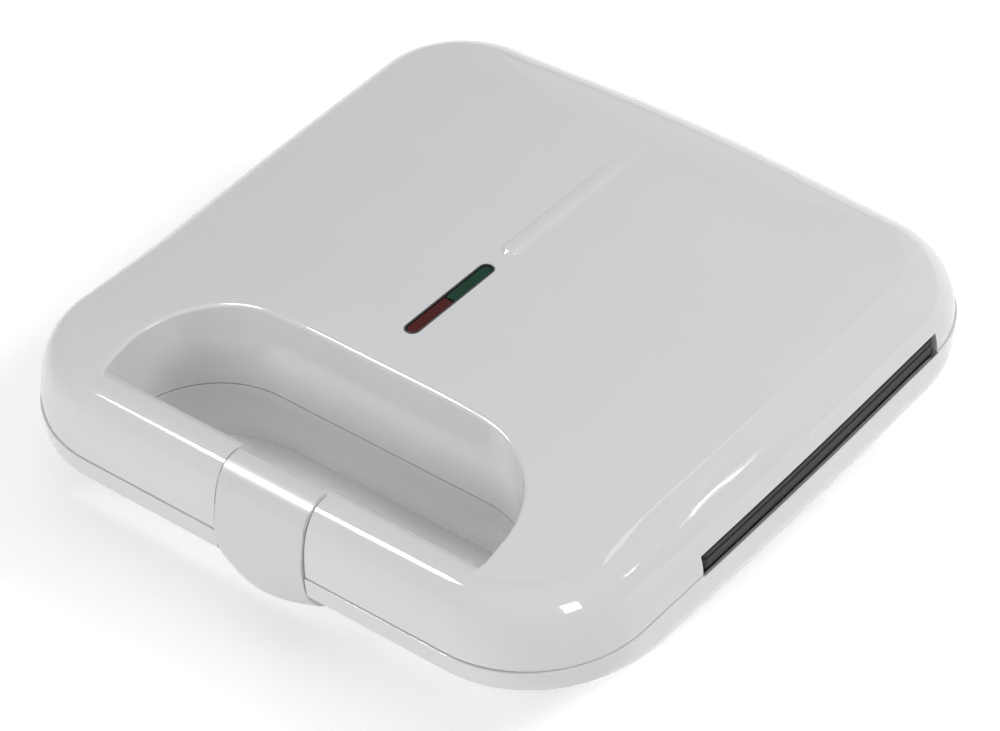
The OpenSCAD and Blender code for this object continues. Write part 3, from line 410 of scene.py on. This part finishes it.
def arc(cx, cy, r, start, steps=ARC_STEPS, turn=90):
    angles = [math.radians(start + turn * i / steps) for i in range(steps + 1)]
    return [(cx + r * math.cos(a), cy + r * math.sin(a)) for a in angles]


def run(p, q, out, bulge):
    """The points between two corners, pushed out in a soft swell."""
    points = []
    for i in range(1, RUN_STEPS):
        t = i / RUN_STEPS
        k = bulge * (4 * t * (1 - t)) ** 1.5
        points.append((p[0] + (q[0] - p[0]) * t + out[0] * k,
                       p[1] + (q[1] - p[1]) * t + out[1] * k))
    return points


def outline(w, f, b, rf, rb, side=SIDE_BULGE, back=BACK_BULGE):
    x, k = w - side, b - back
    return (arc(x - rf, f + rf, rf, -90) + run((x, f + rf), (x, k - rb), (1, 0), side)
            + arc(x - rb, k - rb, rb, 0) + run((x - rb, k), (rb - x, k), (0, 1), back)
            + arc(rb - x, k - rb, rb, 90) + run((-x, k - rb), (-x, f + rf), (-1, 0), side)
            + arc(rf - x, f + rf, rf, 180) + run((rf - x, f), (x - rf, f), (0, -1), 0))


print("points round the plan:", len(outline(HALF_W, -HALF_D, HALF_D, CORNER_FRONT, CORNER_REAR)))

# %% [markdown]
# The lid rises in a rounded shoulder, turns over at a crease and then swells into a low dome.
# At the front the same shoulder rolls right over and becomes the top of the handle tube. A few
# rings close together at the crease keep it crisp but not knife-sharp.

# %% Lid surface
SHOULDER_IN, SHOULDER_BACK = 14, 18
TURN_SIDE, TURN_FRONT = 62, 90
SQUARENESS = 2 / 2.4
REAR_DROOP, DOME_H, DOME_POWER = 1, 13, 1.8
HANDLE_D = 23
HANDLE_MID = -HALF_D + HANDLE_D / 2
CORE_X, CORE_FRONT, CORE_REAR, CORE_SLOPE = 12, -40, 64, -0.035
LID_STEPS = [0, 0.03, 0.07, 0.13, 0.2, 0.28, 0.36, 0.44, 0.52, 0.6, 0.68, 0.76, 0.83, 0.89, 0.94,
             0.97, 0.99, 1]
PANEL_STEPS = [0.006, 0.014, 0.03] + [0.06 + 0.94 * (i / 26) ** 1.15 for i in range(27)]


def mix(a, b, t):
    return a + (b - a) * t


def cosd(a):
    return math.cos(math.radians(a))


def sind(a):
    return math.sin(math.radians(a))


def crease_at(y):
    return CREASE_Z - REAR_DROOP * max(0, min(1, y / HALF_D)) ** 2


def lid_ring(s, t=0):
    front_in = HANDLE_D / 2 * (1 - max(0, cosd(TURN_FRONT * s)) ** SQUARENESS)
    turned = (1 - cosd(TURN_SIDE * s)) / (1 - cosd(TURN_SIDE))
    side_in, back_in = SHOULDER_IN * turned, SHOULDER_BACK * turned
    ring = []
    for x, y in outline(HALF_W - side_in - t, -HALF_D + front_in + t, HALF_D - back_in - t,
                        CORNER_FRONT - 0.75 * side_in - t, CORNER_REAR - 0.75 * back_in - t):
        handle = max(0, min(1, (-y - HALF_D + 75) / 50))
        rise = mix(sind(TURN_SIDE * s) / sind(TURN_SIDE), sind(TURN_FRONT * s) ** SQUARENESS,
                   handle)
        ring.append((x, y, LID_Z + (crease_at(y) - LID_Z) * rise - t * s))
    return ring


def core_z(y):
    return CREASE_Z + DOME_H + CORE_SLOPE * (y - CORE_FRONT) - 0.6


def panel_ring(u, t=0):
    rf = mix(CORNER_FRONT - 0.75 * SHOULDER_IN - t, CORE_X * 0.8, u)
    rb = mix(CORNER_REAR - 0.75 * SHOULDER_BACK - t, CORE_X * 0.8, u)
    ring = outline(mix(HALF_W - SHOULDER_IN - t, CORE_X, u), mix(HANDLE_MID + t, CORE_FRONT, u),
                   mix(HALF_D - SHOULDER_BACK - t, CORE_REAR, u), rf, rb,
                   SIDE_BULGE * (1 - u), BACK_BULGE * (1 - u))
    return [(x, y, mix(crease_at(y), core_z(y), 1 - (1 - u) ** DOME_POWER) - t) for x, y in ring]


lid_skin = loft([lid_ring(s) for s in LID_STEPS] + [panel_ring(u) for u in PANEL_STEPS])
lid_tree = BVHTree.FromBMesh(lid_skin)


def top_z(x, y):
    """Height of the lid's skin over a point of the plan."""
    hit = lid_tree.ray_cast(Vector((x, y, 200)), Vector((0, 0, -1)))[0]
    return hit.z if hit else LID_Z


print("dome at the middle:", round(top_z(0, 0), 2), "mm")

# %% [markdown]
# The hand opening is a D in plan. A real moulding has no sharp rim there: its edge is rounded by
# about a millimetre, and that rounding draws the bright line in the picture. So the tool that
# cuts the opening flares out just under the skin, following its height, as a router bit would.

# %% Hand opening
BAY_HALF, BAY_R, BAY_FRONT_R, BAY_REAR = 75, 33, 8, -60
EDGE_R = 1.3
TOOL_TOP = 95


def bay_plan(front, g=0.0, steps=22):
    w, rear, r = BAY_HALF + g, BAY_REAR + g, BAY_R + g
    q = min(BAY_FRONT_R, rear - front - r - 0.5)
    corners = [arc(w - q, front + q, q, -90, steps), arc(w - r, rear - r, r, 0, steps),
               arc(r - w, rear - r, r, 90, steps), arc(q - w, front + q, q, 180, steps)]
    points = []
    for i, corner in enumerate(corners):
        points += corner
        p, q2 = corner[-1], corners[(i + 1) % 4][0]
        length = math.dist(p, q2)
        n = max(1, round(length / 3))
        points += [(mix(p[0], q2[0], k / n), mix(p[1], q2[1], k / n)) for k in range(1, n)]
    return points


def directions_out(points):
    """The direction that points away from a closed outline, at each of its points."""
    away = []
    for before, after in zip(points[-1:] + points[:-1], points[1:] + points[:1]):
        tx, ty = after[0] - before[0], after[1] - before[1]
        length = math.hypot(tx, ty)
        away.append((ty / length, -tx / length))
    return away


def flared_tool(front):
    base = bay_plan(front)
    away = directions_out(base)
    rings = [[(x, y, 20) for x, y in base]]
    for turn in (0, 15, 30, 45, 60, 75):
        out, drop = EDGE_R * (1 - cosd(turn)), EDGE_R * (1 - sind(turn))
        spots = [(p[0] + d[0] * out, p[1] + d[1] * out) for p, d in zip(base, away)]
        rings.append([(x, y, top_z(x, y) - drop) for x, y in spots])
    reach = out + 2.4
    spots = [(p[0] + d[0] * reach, p[1] + d[1] * reach) for p, d in zip(base, away)]
    rings.append([(x, y, top_z(x, y) + 0.6) for x, y in spots])
    rings.append([(x, y, TOOL_TOP) for x, y in spots])
    return loft(rings)


def handle_tube(t, half):
    """The handle's rear half and all in front of it, which the tool must leave standing."""
    top = CREASE_Z + 0.02 - t
    points = [(-140, 10), (HANDLE_MID + HANDLE_D / 2 - t, 10)]
    for i in range(25):
        a = 90 * i / 24
        points.append((HANDLE_MID + (HANDLE_D / 2 - t) * max(0, cosd(a)) ** SQUARENESS,
                       LID_Z + (top - LID_Z) * sind(a) ** SQUARENESS))
    points.append((-140, top))
    return loft([[(-half, y, z) for y, z in points], [(half, y, z) for y, z in points]])


def bay_tool(grow=0.0):
    front = HANDLE_MID - 1 - grow
    cutter = flared_tool(front) if not grow else prism(bay_plan(front, grow), 20, TOOL_TOP)
    tool = to_object("bay_tool", cutter)
    return carve(tool, to_object("tube", handle_tube(grow, 90)))


# %% [markdown]
# The lid is hollow, so the inside is a second, smaller lid taken out of the first one. The side
# slots, the gap for the latch, the notches for the hinge arms and the window come out last.

# %% Lid shell
LATCH_GAP = 18
SLOT_FRONT, SLOT_REAR, SLOT_TOP = -46.5, 78.5, 45.3
HINGE_X, ARM_BAY, ARM_BAY_FRONT, ARM_BAY_TOP = 56, 8.4, 108, 42.4
LENS_W, LENS_FRONT, LENS_L = 5.2, -44, 41.5


def stadium(w, y0, y1, steps=12):
    r = w / 2
    return (arc(0, y1 - r, r, 0, steps * 2, 180) + arc(0, y0 + r, r, 180, steps * 2, 180))


cavity = to_object("lid_cavity", loft(
    [[(x, y, LID_Z - 1) for x, y, z in lid_ring(0, WALL)]]
    + [lid_ring(s, WALL) for s in LID_STEPS[2::2]]
    + [panel_ring(u, WALL) for u in PANEL_STEPS[3::3]]))
carve(cavity, bay_tool(WALL))
carve(cavity, to_object("neck", block((-LATCH_GAP - WALL, -125, 30), (LATCH_GAP + WALL, -90, 80))))
lid = to_object("lid_shell", lid_skin)
carve(lid, bay_tool())
carve(lid, cavity)
cuts = [block((-LATCH_GAP, -125, 30), (LATCH_GAP, -92, 80))]
for side in (-1, 1):
    cuts.append(block((side * HALF_W - 8, SLOT_FRONT, 30), (side * HALF_W + 8, SLOT_REAR, SLOT_TOP)))
    cuts.append(block((side * HINGE_X - ARM_BAY / 2, ARM_BAY_FRONT, 30),
                      (side * HINGE_X + ARM_BAY / 2, 130, ARM_BAY_TOP)))
cuts.append(prism(stadium(LENS_W + 0.4, LENS_FRONT - 0.2, LENS_FRONT + LENS_L + 0.2), 66, 90))
carve(lid, to_object("lid_cuts", join(cuts)))
dress(lid, "lid", WHITE_GLOSS, ["upper_housing"])

# %% [markdown]
# The base is a shallow tray with a short upright band, then a belly that turns under to a flat
# bottom. The handle's lower half is part of it, so the same opening goes through, a little wider
# towards the table.

# %% Base shell
BAND_H, BAND_OUT, BASE_Z = 7.5, 0.5, 10
BASE_IN, LIP_FRONT, UNDERCUT = 24, 60, 0.6
BAY_FLARE = 7
LATCH_FLOOR = -109
SLOT_LIP, SLOT_SINK = 0.35, 3
HINGE_SEAT, SEAT_FRONT, SEAT_Z = 8.2, 106, 29.4
BUSH_Z, BUSH_R, SPOT_FACE_Y = 23, 6, 117.4
STUD_BORE_R = 3.3
BASE_TURNS = [90, 84, 78, 72, 66, 60, 54, 48, 42, 36, 30, 24, 18, 12, 8, 4, 0]


def base_ring(a, t=0):
    turned = 1 - cosd(a)
    ring = outline(HALF_W - BASE_IN * turned - t, -HALF_D + LIP_FRONT * turned ** UNDERCUT + t,
                   HALF_D - BASE_IN * turned - t, CORNER_FRONT - 0.6 * BASE_IN * turned - t,
                   CORNER_REAR - 0.6 * BASE_IN * turned - t)
    z = mix(SEAM_Z - BAND_H, BASE_Z, sind(a)) + t * sind(a)
    return [(x, y, z) for x, y in ring]


def band_ring(z, out, t=0):
    ring = outline(HALF_W + out - t, -HALF_D - out + t, HALF_D + out - t, CORNER_FRONT - t,
                   CORNER_REAR - t)
    return [(x, y, z) for x, y in ring]


def base_bay(g=0.0):
    """The opening's tool for the base: straight through the band, then wider towards the table."""
    front = HANDLE_MID + HANDLE_D / 2 - g
    plan = bay_plan(front, g)
    flared = []
    for p, away in zip(plan, directions_out(plan)):
        out = BAY_FLARE if p[1] > front + 0.5 else 0
        flared.append((p[0] + away[0] * out, p[1] + away[1] * out, BASE_Z - 4))
    return loft([[(x, y, SEAM_Z + 5) for x, y in plan], [(x, y, SEAM_Z - BAND_H) for x, y in plan],
                 flared])


base = to_object("base_shell", loft(
    [base_ring(a) for a in BASE_TURNS]
    + [band_ring(SEAM_Z - BAND_H / 2, BAND_OUT * 0.6), band_ring(SEAM_Z - 0.5, BAND_OUT),
       band_ring(SEAM_Z - 0.15, BAND_OUT - 0.1), band_ring(SEAM_Z, BAND_OUT - 0.4)]))
hollow = to_object("base_cavity", loft(
    [base_ring(a, WALL) for a in BASE_TURNS[::2]] + [band_ring(SEAM_Z + 1, BAND_OUT, WALL)]))
carve(hollow, to_object("bay", base_bay(WALL)))
carve(hollow, to_object("neck", block((-LATCH_GAP - WALL, -125, 5),
                                      (LATCH_GAP + WALL, LATCH_FLOOR + WALL, 60))))
carve(base, to_object("bay", base_bay()))
carve(base, hollow)
groove = to_object("groove", prism([p[:2] for p in band_ring(0, BAND_OUT, SLOT_LIP)],
                                   SEAM_Z - SLOT_SINK, 60))
carve(groove, to_object("slot_run", block((-140, SLOT_FRONT, 20), (140, SLOT_REAR, 70))),
      "INTERSECT")
carve(base, groove)
for side in (-1, 1):
    carve(base, to_object("lip_step", block((side * HALF_W - 4, SLOT_FRONT, SEAM_Z - 0.5),
                                            (side * HALF_W + 4, SLOT_REAR, 60))))
cuts = [block((-LATCH_GAP, -125, 5), (LATCH_GAP, LATCH_FLOOR, 60))]
for side in (-1, 1):
    cuts.append(block((side * HINGE_X - HINGE_SEAT, SEAT_FRONT, SEAT_Z),
                      (side * HINGE_X + HINGE_SEAT, 130, 60)))
cuts.append(rod((0, SEAT_FRONT, BUSH_Z), (0, 130, BUSH_Z), BUSH_R + 0.1))
for x, y in STUDS:
    cuts.append(rod((x, y, 5), (x, y, 12), STUD_BORE_R))
carve(base, to_object("base_cuts", join(cuts)))
carve(base, to_object("spot_face", rod((0, SPOT_FACE_Y, BUSH_Z), (0, 130, BUSH_Z), BUSH_R + 1.9)))
dress(base, "base", WHITE_GLOSS, ["lower_housing"])

# %% [markdown]
# The cooking plates are cast aluminium with a dark coating: a flat rim with rounded edges and
# four tapered pockets whose corners are all soft. The tool for a pocket flares at its mouth and
# has a fillet at its bottom, so one cut gives every rounding of the casting.

# %% Cooking plates
LOWER_TOP, UPPER_BOTTOM = 42.5, 42.9
POCKET_DEPTH, PLATE_T = 10.5, 2
POCKET_CORNER, POCKET_TAPER, RIDGE_W = 12, 6, 6
RIM_CORNER, PLATE_INSET = 3, 0.6


def soft_triangle(corners, inset, radius, steps=14):
    """A triangle drawn in by inset, then rounded outwards by radius."""
    lines = []
    for i in range(3):
        p, q = Vector(corners[i]), Vector(corners[(i + 1) % 3])
        d = (q - p).normalized()
        n = Vector((d.y, -d.x))
        lines.append((p - n * inset, d, n))
    points = []
    for i in range(3):
        (p, d, n), (q, e, m) = lines[i - 1], lines[i]
        k = ((q - p).x * e.y - (q - p).y * e.x) / (d.x * e.y - d.y * e.x)
        start, end = math.atan2(n.y, n.x), math.atan2(m.y, m.x)
        if end < start:
            end += 2 * math.pi
        tip = p + d * k
        for j in range(steps + 1):
            a = mix(start, end, j / steps)
            points.append((tip.x + radius * math.cos(a), tip.y + radius * math.sin(a)))
    return points


def pocket_loft(corners, rows, side):
    """rows are pairs of a height and how far the wall has come in."""
    rings = []
    for z, inward in rows:
        base = POCKET_CORNER + RIDGE_W / 4
        ring = soft_triangle(corners, base + max(0, inward), POCKET_CORNER - min(0, inward))
        rings.append([(side * x, y, z) for x, y in ring])
    return loft(rings)


def rim_plan():
    """The rim's edge follows the swell of the long sides."""
    y0, y1, c = PLATE_Y - PLATE_D / 2, PLATE_Y + PLATE_D / 2, RIM_CORNER

    def edge_x(y):
        straight = 2 * HALF_D - CORNER_FRONT - BACK_BULGE - CORNER_REAR
        t = min(1, (y + HALF_D - CORNER_FRONT) / straight)
        return HALF_W - PLATE_INSET - SIDE_BULGE * (1 - (4 * t * (1 - t)) ** 1.5)

    right = arc(edge_x(y0 + c) - c, y0 + c, c, -90)
    heights = [mix(y0 + c, y1 - c, k / 16) for k in range(1, 16)]
    right += [(edge_x(y), y) for y in heights]
    right += arc(edge_x(y1 - c) - c, y1 - c, c, 0)
    return right + [(-x, y) for x, y in reversed(right)]


def cooking_plate(name, mouth, rim, down):
    """down is -1 for the lower plate, whose pockets sink, and 1 for the upper one."""
    slab = prism(rim_plan(), *sorted((mouth, mouth + down * rim)))
    crisp = [e for e in slab.edges if e.calc_face_angle(0) > 0.9]
    bmesh.ops.bevel(slab, geom=crisp, offset=0.55, segments=3, profile=0.5, affect="EDGES",
                    material=-1)
    plate = to_object(name, slab)
    floor = mouth + down * POCKET_DEPTH
    under = floor + down * PLATE_T
    bowls, pockets = [], []
    for side in (-1, 1):
        for t in TRIANGLES:
            mid = mouth + down * rim / 2
            wall = [(mid, -PLATE_T)]
            wall += [(mix(mid, under, k), mix(-PLATE_T, POCKET_TAPER - PLATE_T, k))
                     for k in (0.5, 0.86, 0.95)]
            wall += [(under, POCKET_TAPER - PLATE_T + 1.2)]
            bowls.append(pocket_loft(t, wall, side))
            sunk = [(mouth - down * 2, -1.6), (mouth - down * 0.02, -0.9),
                    (mouth + down * 0.25, -0.38), (mouth + down * 0.8, 0.1),
                    (mix(mouth, floor, 0.5), POCKET_TAPER * 0.5),
                    (mix(mouth, floor, 0.8), POCKET_TAPER * 0.8),
                    (mix(mouth, floor, 0.93), POCKET_TAPER),
                    (mix(mouth, floor, 0.985), POCKET_TAPER + 0.8), (floor, POCKET_TAPER + 2)]
            pockets.append(pocket_loft(t, sunk, side))
    for x, y in STUDS:
        bowls.append(rod((x, y, under - down * 0.6), (x, y, under + down * 6.1), 4))
    carve(plate, to_object("bowls", join(bowls)), "UNION")
    carve(plate, to_object("pockets", join(pockets)))
    return plate


lower = cooking_plate("plate_lower", LOWER_TOP, 4.2, -1)
dress(lower, "base", COATING, ["lower_plate"])

# %% Lugs of the upper plate
LUG_X, LUG_OUT, LUG_R, LUG_T, LUG_ROOT = 88, 68, 5, 3, 8
LUG_HOLE_R, LUG_SINK_R = 1.65, 4.15

upper = cooking_plate("plate_upper", UPPER_BOTTOM, 2.1, 1)
lugs, lug_holes = [], []
for sx in (-1, 1):
    for sy in (-1, 1):
        x, y = sx * LUG_X, PLATE_Y + sy * LUG_OUT
        y_near, y_far = sorted((y, y - sy * LUG_ROOT))
        lugs.append(rod((x, y, UPPER_BOTTOM), (x, y, UPPER_BOTTOM + LUG_T), LUG_R))
        lugs.append(block((x - LUG_R, y_near, UPPER_BOTTOM), (x + LUG_R, y_far, UPPER_BOTTOM + LUG_T)))
        lug_holes.append(rod((x, y, UPPER_BOTTOM - 1), (x, y, UPPER_BOTTOM + 1.6), LUG_SINK_R,
                             LUG_HOLE_R))
        lug_holes.append(rod((x, y, UPPER_BOTTOM - 1), (x, y, UPPER_BOTTOM + 6), LUG_HOLE_R))
for part in lugs:
    carve(upper, to_object("lug", part), "UNION")
for part in lug_holes:
    carve(upper, to_object("lug_hole", part))
dress(upper, "lid", COATING, ["upper_plate"])

# %% [markdown]
# The latch clip is one bent strip. In side view it goes over the handle, down its front and
# curls under; in front view the lip swells to a rounded tongue. Lofting side views from end to
# end gives both at once, and a small bevel softens the two cut ends.

# %% Latch clip
PIVOT_Y, PIVOT_Z = HANDLE_MID, 52.8
LATCH_W, LATCH_T, LATCH_R = 35.2, 2.8, 10
LIP_T = 2.5
FRONT_Y = -120.6
EAR_R, EAR_R_UNDER_STRIP, EAR_IN, EAR_OUT, EAR_BORE_R = 6.8, 8.6, 15.4, 17.45, 1.55
# For each row down the lip: how far behind the front and below the seam it lies at the clip's
# ends, the same in its middle, and the direction in which the strip's thickness goes.
LIP_ROWS = [(1.7, -6, 1.7, -6, 1, 0), (1.6, -0.6, 1.2, -0.6, 1, 0.02),
            (2.1, 5, 0.3, 5, 0.99, 0.12), (3.7, 10.2, 0, 9.5, 0.9, 0.42),
            (5.9, 13.7, 1, 13.8, 0.74, 0.67), (8.4, 16.8, 4.4, 17.6, 0.45, 0.9),
            (10.6, 18.4, 9.8, 18.8, 0.25, 0.97)]


def flow(points, steps=6):
    """A smooth line through points, the Catmull-Rom way."""
    out = []
    ends = [points[0]] + list(points) + [points[-1]]
    for i in range(1, len(ends) - 2):
        a, b, c, d = (Vector(p) for p in ends[i - 1:i + 3])
        for j in range(steps):
            t = j / steps
            out.append(0.5 * (2 * b + (c - a) * t + (2 * a - 5 * b + 4 * c - d) * t * t
                              + (3 * b - a - 3 * c + d) * t ** 3))
    return out + [Vector(points[-1])]


def clip_side(bulge):
    """One side view of the clip: bulge is 0 at its ends and 1 in the middle."""
    def over(r, a0, a1, n=30):
        angles = [mix(a0, a1, i / n) for i in range(n + 1)]
        return [(PIVOT_Y + r * cosd(a), PIVOT_Z + r * sind(a)) for a in angles]

    rows = [(FRONT_Y + mix(q[0], q[2], bulge), SEAM_Z - mix(q[1], q[3], bulge)) for q in LIP_ROWS]
    back = [(p[0] + q[4] * mix(LATCH_T, LIP_T, k / 6), p[1] + q[5] * mix(LATCH_T, LIP_T, k / 6))
            for k, (p, q) in enumerate(zip(rows, LIP_ROWS))]
    outer = flow(over(LATCH_R, 80, 166)[::3] + rows)
    inner = flow(over(LATCH_R - LATCH_T, 80, 166)[::3] + back)
    tip = rows[-1]
    nose = [Vector((tip[0] + 0.75, tip[1] + 0.5)), Vector((tip[0] + 1.1, tip[1] + 1.3)),
            Vector((tip[0] + 0.95, tip[1] + 2.0))]
    return outer + nose + inner[::-1]


def build_clip():
    rings = []
    for i in range(29):
        x = sind(90 * (i / 14 - 1))
        rings.append([(x * LATCH_W / 2, p.x, p.y) for p in clip_side(1 - x * x)])
    clip = loft(rings)
    ends = [e for e in clip.edges if len([f for f in e.link_faces if len(f.verts) > 4]) == 1]
    bmesh.ops.bevel(clip, geom=ends, offset=0.45, segments=3, profile=0.5, affect="EDGES",
                    material=-1)
    return clip


clip = to_object("clip", build_clip())
for side in (-1, 1):
    spots = [(EAR_R_UNDER_STRIP if 82 <= a <= 170 else EAR_R, a) for a in range(0, 360, 8)]
    ear = to_object("ear", loft([[(x, PIVOT_Y + r * cosd(a), PIVOT_Z + r * sind(a)) for r, a in spots]
                                 for x in sorted((side * EAR_IN, side * EAR_OUT))]))
    carve(ear, to_object("bore", rod((-20, PIVOT_Y, PIVOT_Z), (20, PIVOT_Y, PIVOT_Z), EAR_BORE_R)))
    absorb(clip, ear)
dress(clip, "latch", WHITE_LATCH, ["latch_clip"])

# %% [markdown]
# Behind the window a low rib runs back over the dome. It is a soft swell, highest in front and
# fading towards the back, so its rings follow the lid's own height and only add a little.

# %% Raised rib
RIB_FRONT, RIB_REAR, RIB_W, RIB_H = 4.3, 79, 6.6, 1.0


def build_rib():
    rings = []
    for i in range(61):
        t = i / 60
        y = mix(RIB_FRONT, RIB_REAR, t)
        near_front = min(1, (y - RIB_FRONT + 0.02) / 4)
        near_rear = min(1, (RIB_REAR - y + 0.02) / 5)
        round_front = math.sqrt(max(0.004, 1 - (1 - near_front) ** 2))
        round_rear = math.sqrt(max(0.004, 1 - (1 - near_rear) ** 2))
        half = RIB_W / 2 * round_front * round_rear
        fade = 1 - 0.75 * max(0, t - 0.45) / 0.55
        rise = RIB_H * fade * min(1, 4 * near_front) * min(1, 3 * near_rear)
        ring = []
        for k in range(17):
            q = k / 8 - 1
            x = q * half
            soft = (1 - abs(q) ** 3.2) ** 1.1
            ring.append((x, y, top_z(x, y) - 0.04 + rise * soft))
        ring += [(half * 0.9, y, top_z(0, y) - 0.8), (-half * 0.9, y, top_z(0, y) - 0.8)]
        rings.append(ring)
    return loft(rings)


rib = to_object("lid_rib", build_rib())
dress(rib, "lid", WHITE_GLOSS)

# %% [markdown]
# The indicator is a window of two coloured halves in a thin black ring. The ring is painted shade:
# it fills the gap round the window and stands a hair above the lid. The glossy halves lie just under it,
# with rounded long edges.

# %% Window
LENS_MID = LENS_FRONT + LENS_L / 2


def strip(width, y0, y1, low, high, soft, round_front, round_rear):
    """A stadium-shaped bar with its ends round or square, and its top edge softened."""
    r = width / 2
    rear = arc(0, y1 - r, r, 0, 16, 180) if round_rear else [(r, y1), (-r, y1)]
    front = arc(0, y0 + r, r, 180, 16, 180) if round_front else [(-r, y0), (r, y0)]
    rings = [[(x, y, low) for x, y in rear + front]]
    mid = (y0 + y1) / 2
    for turn in (0, 30, 60, 90):
        k = 1 - soft * (1 - cosd(turn)) / r
        lift = high - soft * (1 - sind(turn))
        rings.append([(x * k, mid + (y - mid) * (1 - soft * (1 - cosd(turn)) / (y1 - y0) * 2),
                       lift + CORE_SLOPE * (y - CORE_FRONT)) for x, y in rear + front])
    return loft(rings)


PANEL_TOP = CREASE_Z + DOME_H - 0.6
# Painted shade: a black ring put in the gap round the window.
gap_shade_ring = to_object("window_gap_shade_ring", strip(LENS_W + 0.3, LENS_FRONT - 0.15,
                                      LENS_FRONT + LENS_L + 0.15, 69.5, PANEL_TOP + 0.06, 0.15,
                                      True, True))
window = stadium(LENS_W - 0.9, LENS_FRONT + 0.45, LENS_FRONT + LENS_L - 0.45)
carve(gap_shade_ring, to_object("window", prism(window, 60, 90)))
dress(gap_shade_ring, "lid", BLACK)
for name, y0, y1, front_end, finish in (
        ("red", LENS_FRONT + 0.5, LENS_MID - 0.2, True, RED),
        ("green", LENS_MID + 0.2, LENS_FRONT + LENS_L - 0.5, False, GREEN)):
    pane = to_object("window_" + name, strip(LENS_W - 1.0, y0, y1, 68.6, PANEL_TOP - 0.1, 0.7,
                                             front_end, not front_end))
    dress(pane, "lid", finish, [name + "_lens"])

# %% [markdown]
# The decks, hinge arms, feet and screws have the right shape already, but a moulding has no
# knife edges. A copy of each is merged, its flat faces are joined again, and its sharp edges get
# a narrow bevel. Screw heads get the cross that a screwdriver needs.

# %% Softened small parts
def soften(node_name, name, width, material, body, holes=(), segments=2):
    bm = bmesh.new()
    bm.from_mesh(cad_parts[node_name].data)
    bmesh.ops.scale(bm, vec=(1 / MM,) * 3, verts=bm.verts)
    bmesh.ops.remove_doubles(bm, verts=bm.verts, dist=0.004)
    bmesh.ops.dissolve_limit(bm, angle_limit=math.radians(1), verts=bm.verts, edges=bm.edges)
    crisp = [e for e in bm.edges
             if len(e.link_faces) == 2 and e.calc_face_angle(0) > math.radians(35)]
    bmesh.ops.bevel(bm, geom=crisp, offset=width, segments=segments, profile=0.5, affect="EDGES",
                    clamp_overlap=True, material=-1)
    obj = to_object(name, bm)
    for blades in holes:
        carve(obj, to_object("blades", join(blades)))
    return dress(obj, body, material, [node_name])


def crosses(places, z, dir_up):
    """Both blades of the cross recess in each head at height z, as two sets of cutters."""
    lo, hi = sorted((z + 0.5 * dir_up, z - 1.1 * dir_up))
    return [[block((x - a, y - b, lo), (x + a, y + b, hi)) for x, y in places]
            for a, b in ((1.7, 0.4), (0.4, 1.7))]


for node_name, width, material, slot, body in (
        ("base_front_deck", 0.45, WHITE_DECK, "deck_white", "base"),
        ("base_rear_deck", 0.45, WHITE_DECK, "deck_white", "base"),
        ("lid_front_deck", 0.45, WHITE_DECK, "deck_white", "lid"),
        ("lid_rear_deck", 0.45, WHITE_DECK, "deck_white", "lid"),
        ("base_hinge_left", 0.3, WHITE_GLOSS, "hinge_white", "base"),
        ("base_hinge_right", 0.3, WHITE_GLOSS, "hinge_white", "base"),
        ("lid_hinge_left", 0.35, WHITE_GLOSS, "hinge_white", "lid"),
        ("lid_hinge_right", 0.35, WHITE_GLOSS, "hinge_white", "lid"),
        ("latch_saddle", 0.3, WHITE_GLOSS, "hinge_white", "lid"),
        ("cord_bush", 0.4, RUBBER, "bush_rubber", "base"),
        ("foot_front_left", 0.4, FOOT, "foot_rubber", "base"),
        ("foot_front_right", 0.4, FOOT, "foot_rubber", "base"),
        ("foot_rear_left", 0.4, FOOT, "foot_rubber", "base"),
        ("foot_rear_right", 0.4, FOOT, "foot_rubber", "base")):
    soften(node_name, "soft_" + node_name, width, material, body)

DECK_SCREWS = [(-96, -80), (96, -80), (-30, 90), (30, 90)]
ARM_SCREWS = [(-HINGE_X, 101), (HINGE_X, 101)]
FOOT_PLACES = [(-72, -47), (72, -47), (-72, 85), (72, 85)]
for node_name, body, places, z, dir_up in (
        ("base_deck_screws", "base", DECK_SCREWS, SEAM_Z, 1),
        ("lid_deck_screws", "lid", DECK_SCREWS + ARM_SCREWS, LID_Z + 2, -1),
        ("foot_screws", "base", FOOT_PLACES, 1, -1),
        ("lower_plate_screws", "base", STUDS, BASE_Z + 0.2, -1)):
    soften(node_name, "soft_" + node_name, 0.2, ZINC, body,
           crosses(places, z, dir_up))

# %% [markdown]
# What is left inside, such as rods, sheets, leads and pins, is shown as it was measured. Those
# pieces only need a finish, which the last word of their name picks. A material on the mesh is
# enough, and their shapes stay untouched.

# %% Finishes for the measured parts
FINISHES = {
    "deck": WHITE_DECK, "plate": COATING, "heater": SHEATH, "reflector": STEEL, "clamps": STEEL,
    "screws": ZINC, "pins": ZINC, "pin": ZINC, "left": WHITE_GLOSS, "right": WHITE_GLOSS, "bush": RUBBER,
    "clamp": CLAMP, "block": CERAMIC, "fuse": ZINC, "leads": SLEEVE, "thermostat": BLACK,
    "holder": BLACK, "lamp": BULB, "saddle": WHITE_GLOSS, "clip": WHITE_LATCH, "housing": WHITE_GLOSS,
}
for name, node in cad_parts.items():
    finish = FINISHES.get(name.split("_")[-1])
    if name.startswith("foot") and not name.endswith("screws"):
        finish = FOOT
    if name.endswith("lens"):
        finish = RED if name.startswith("red") else GREEN
    node.data.materials.clear()
    node.data.materials.append(finish)
print("finished", len(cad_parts), "measured parts")
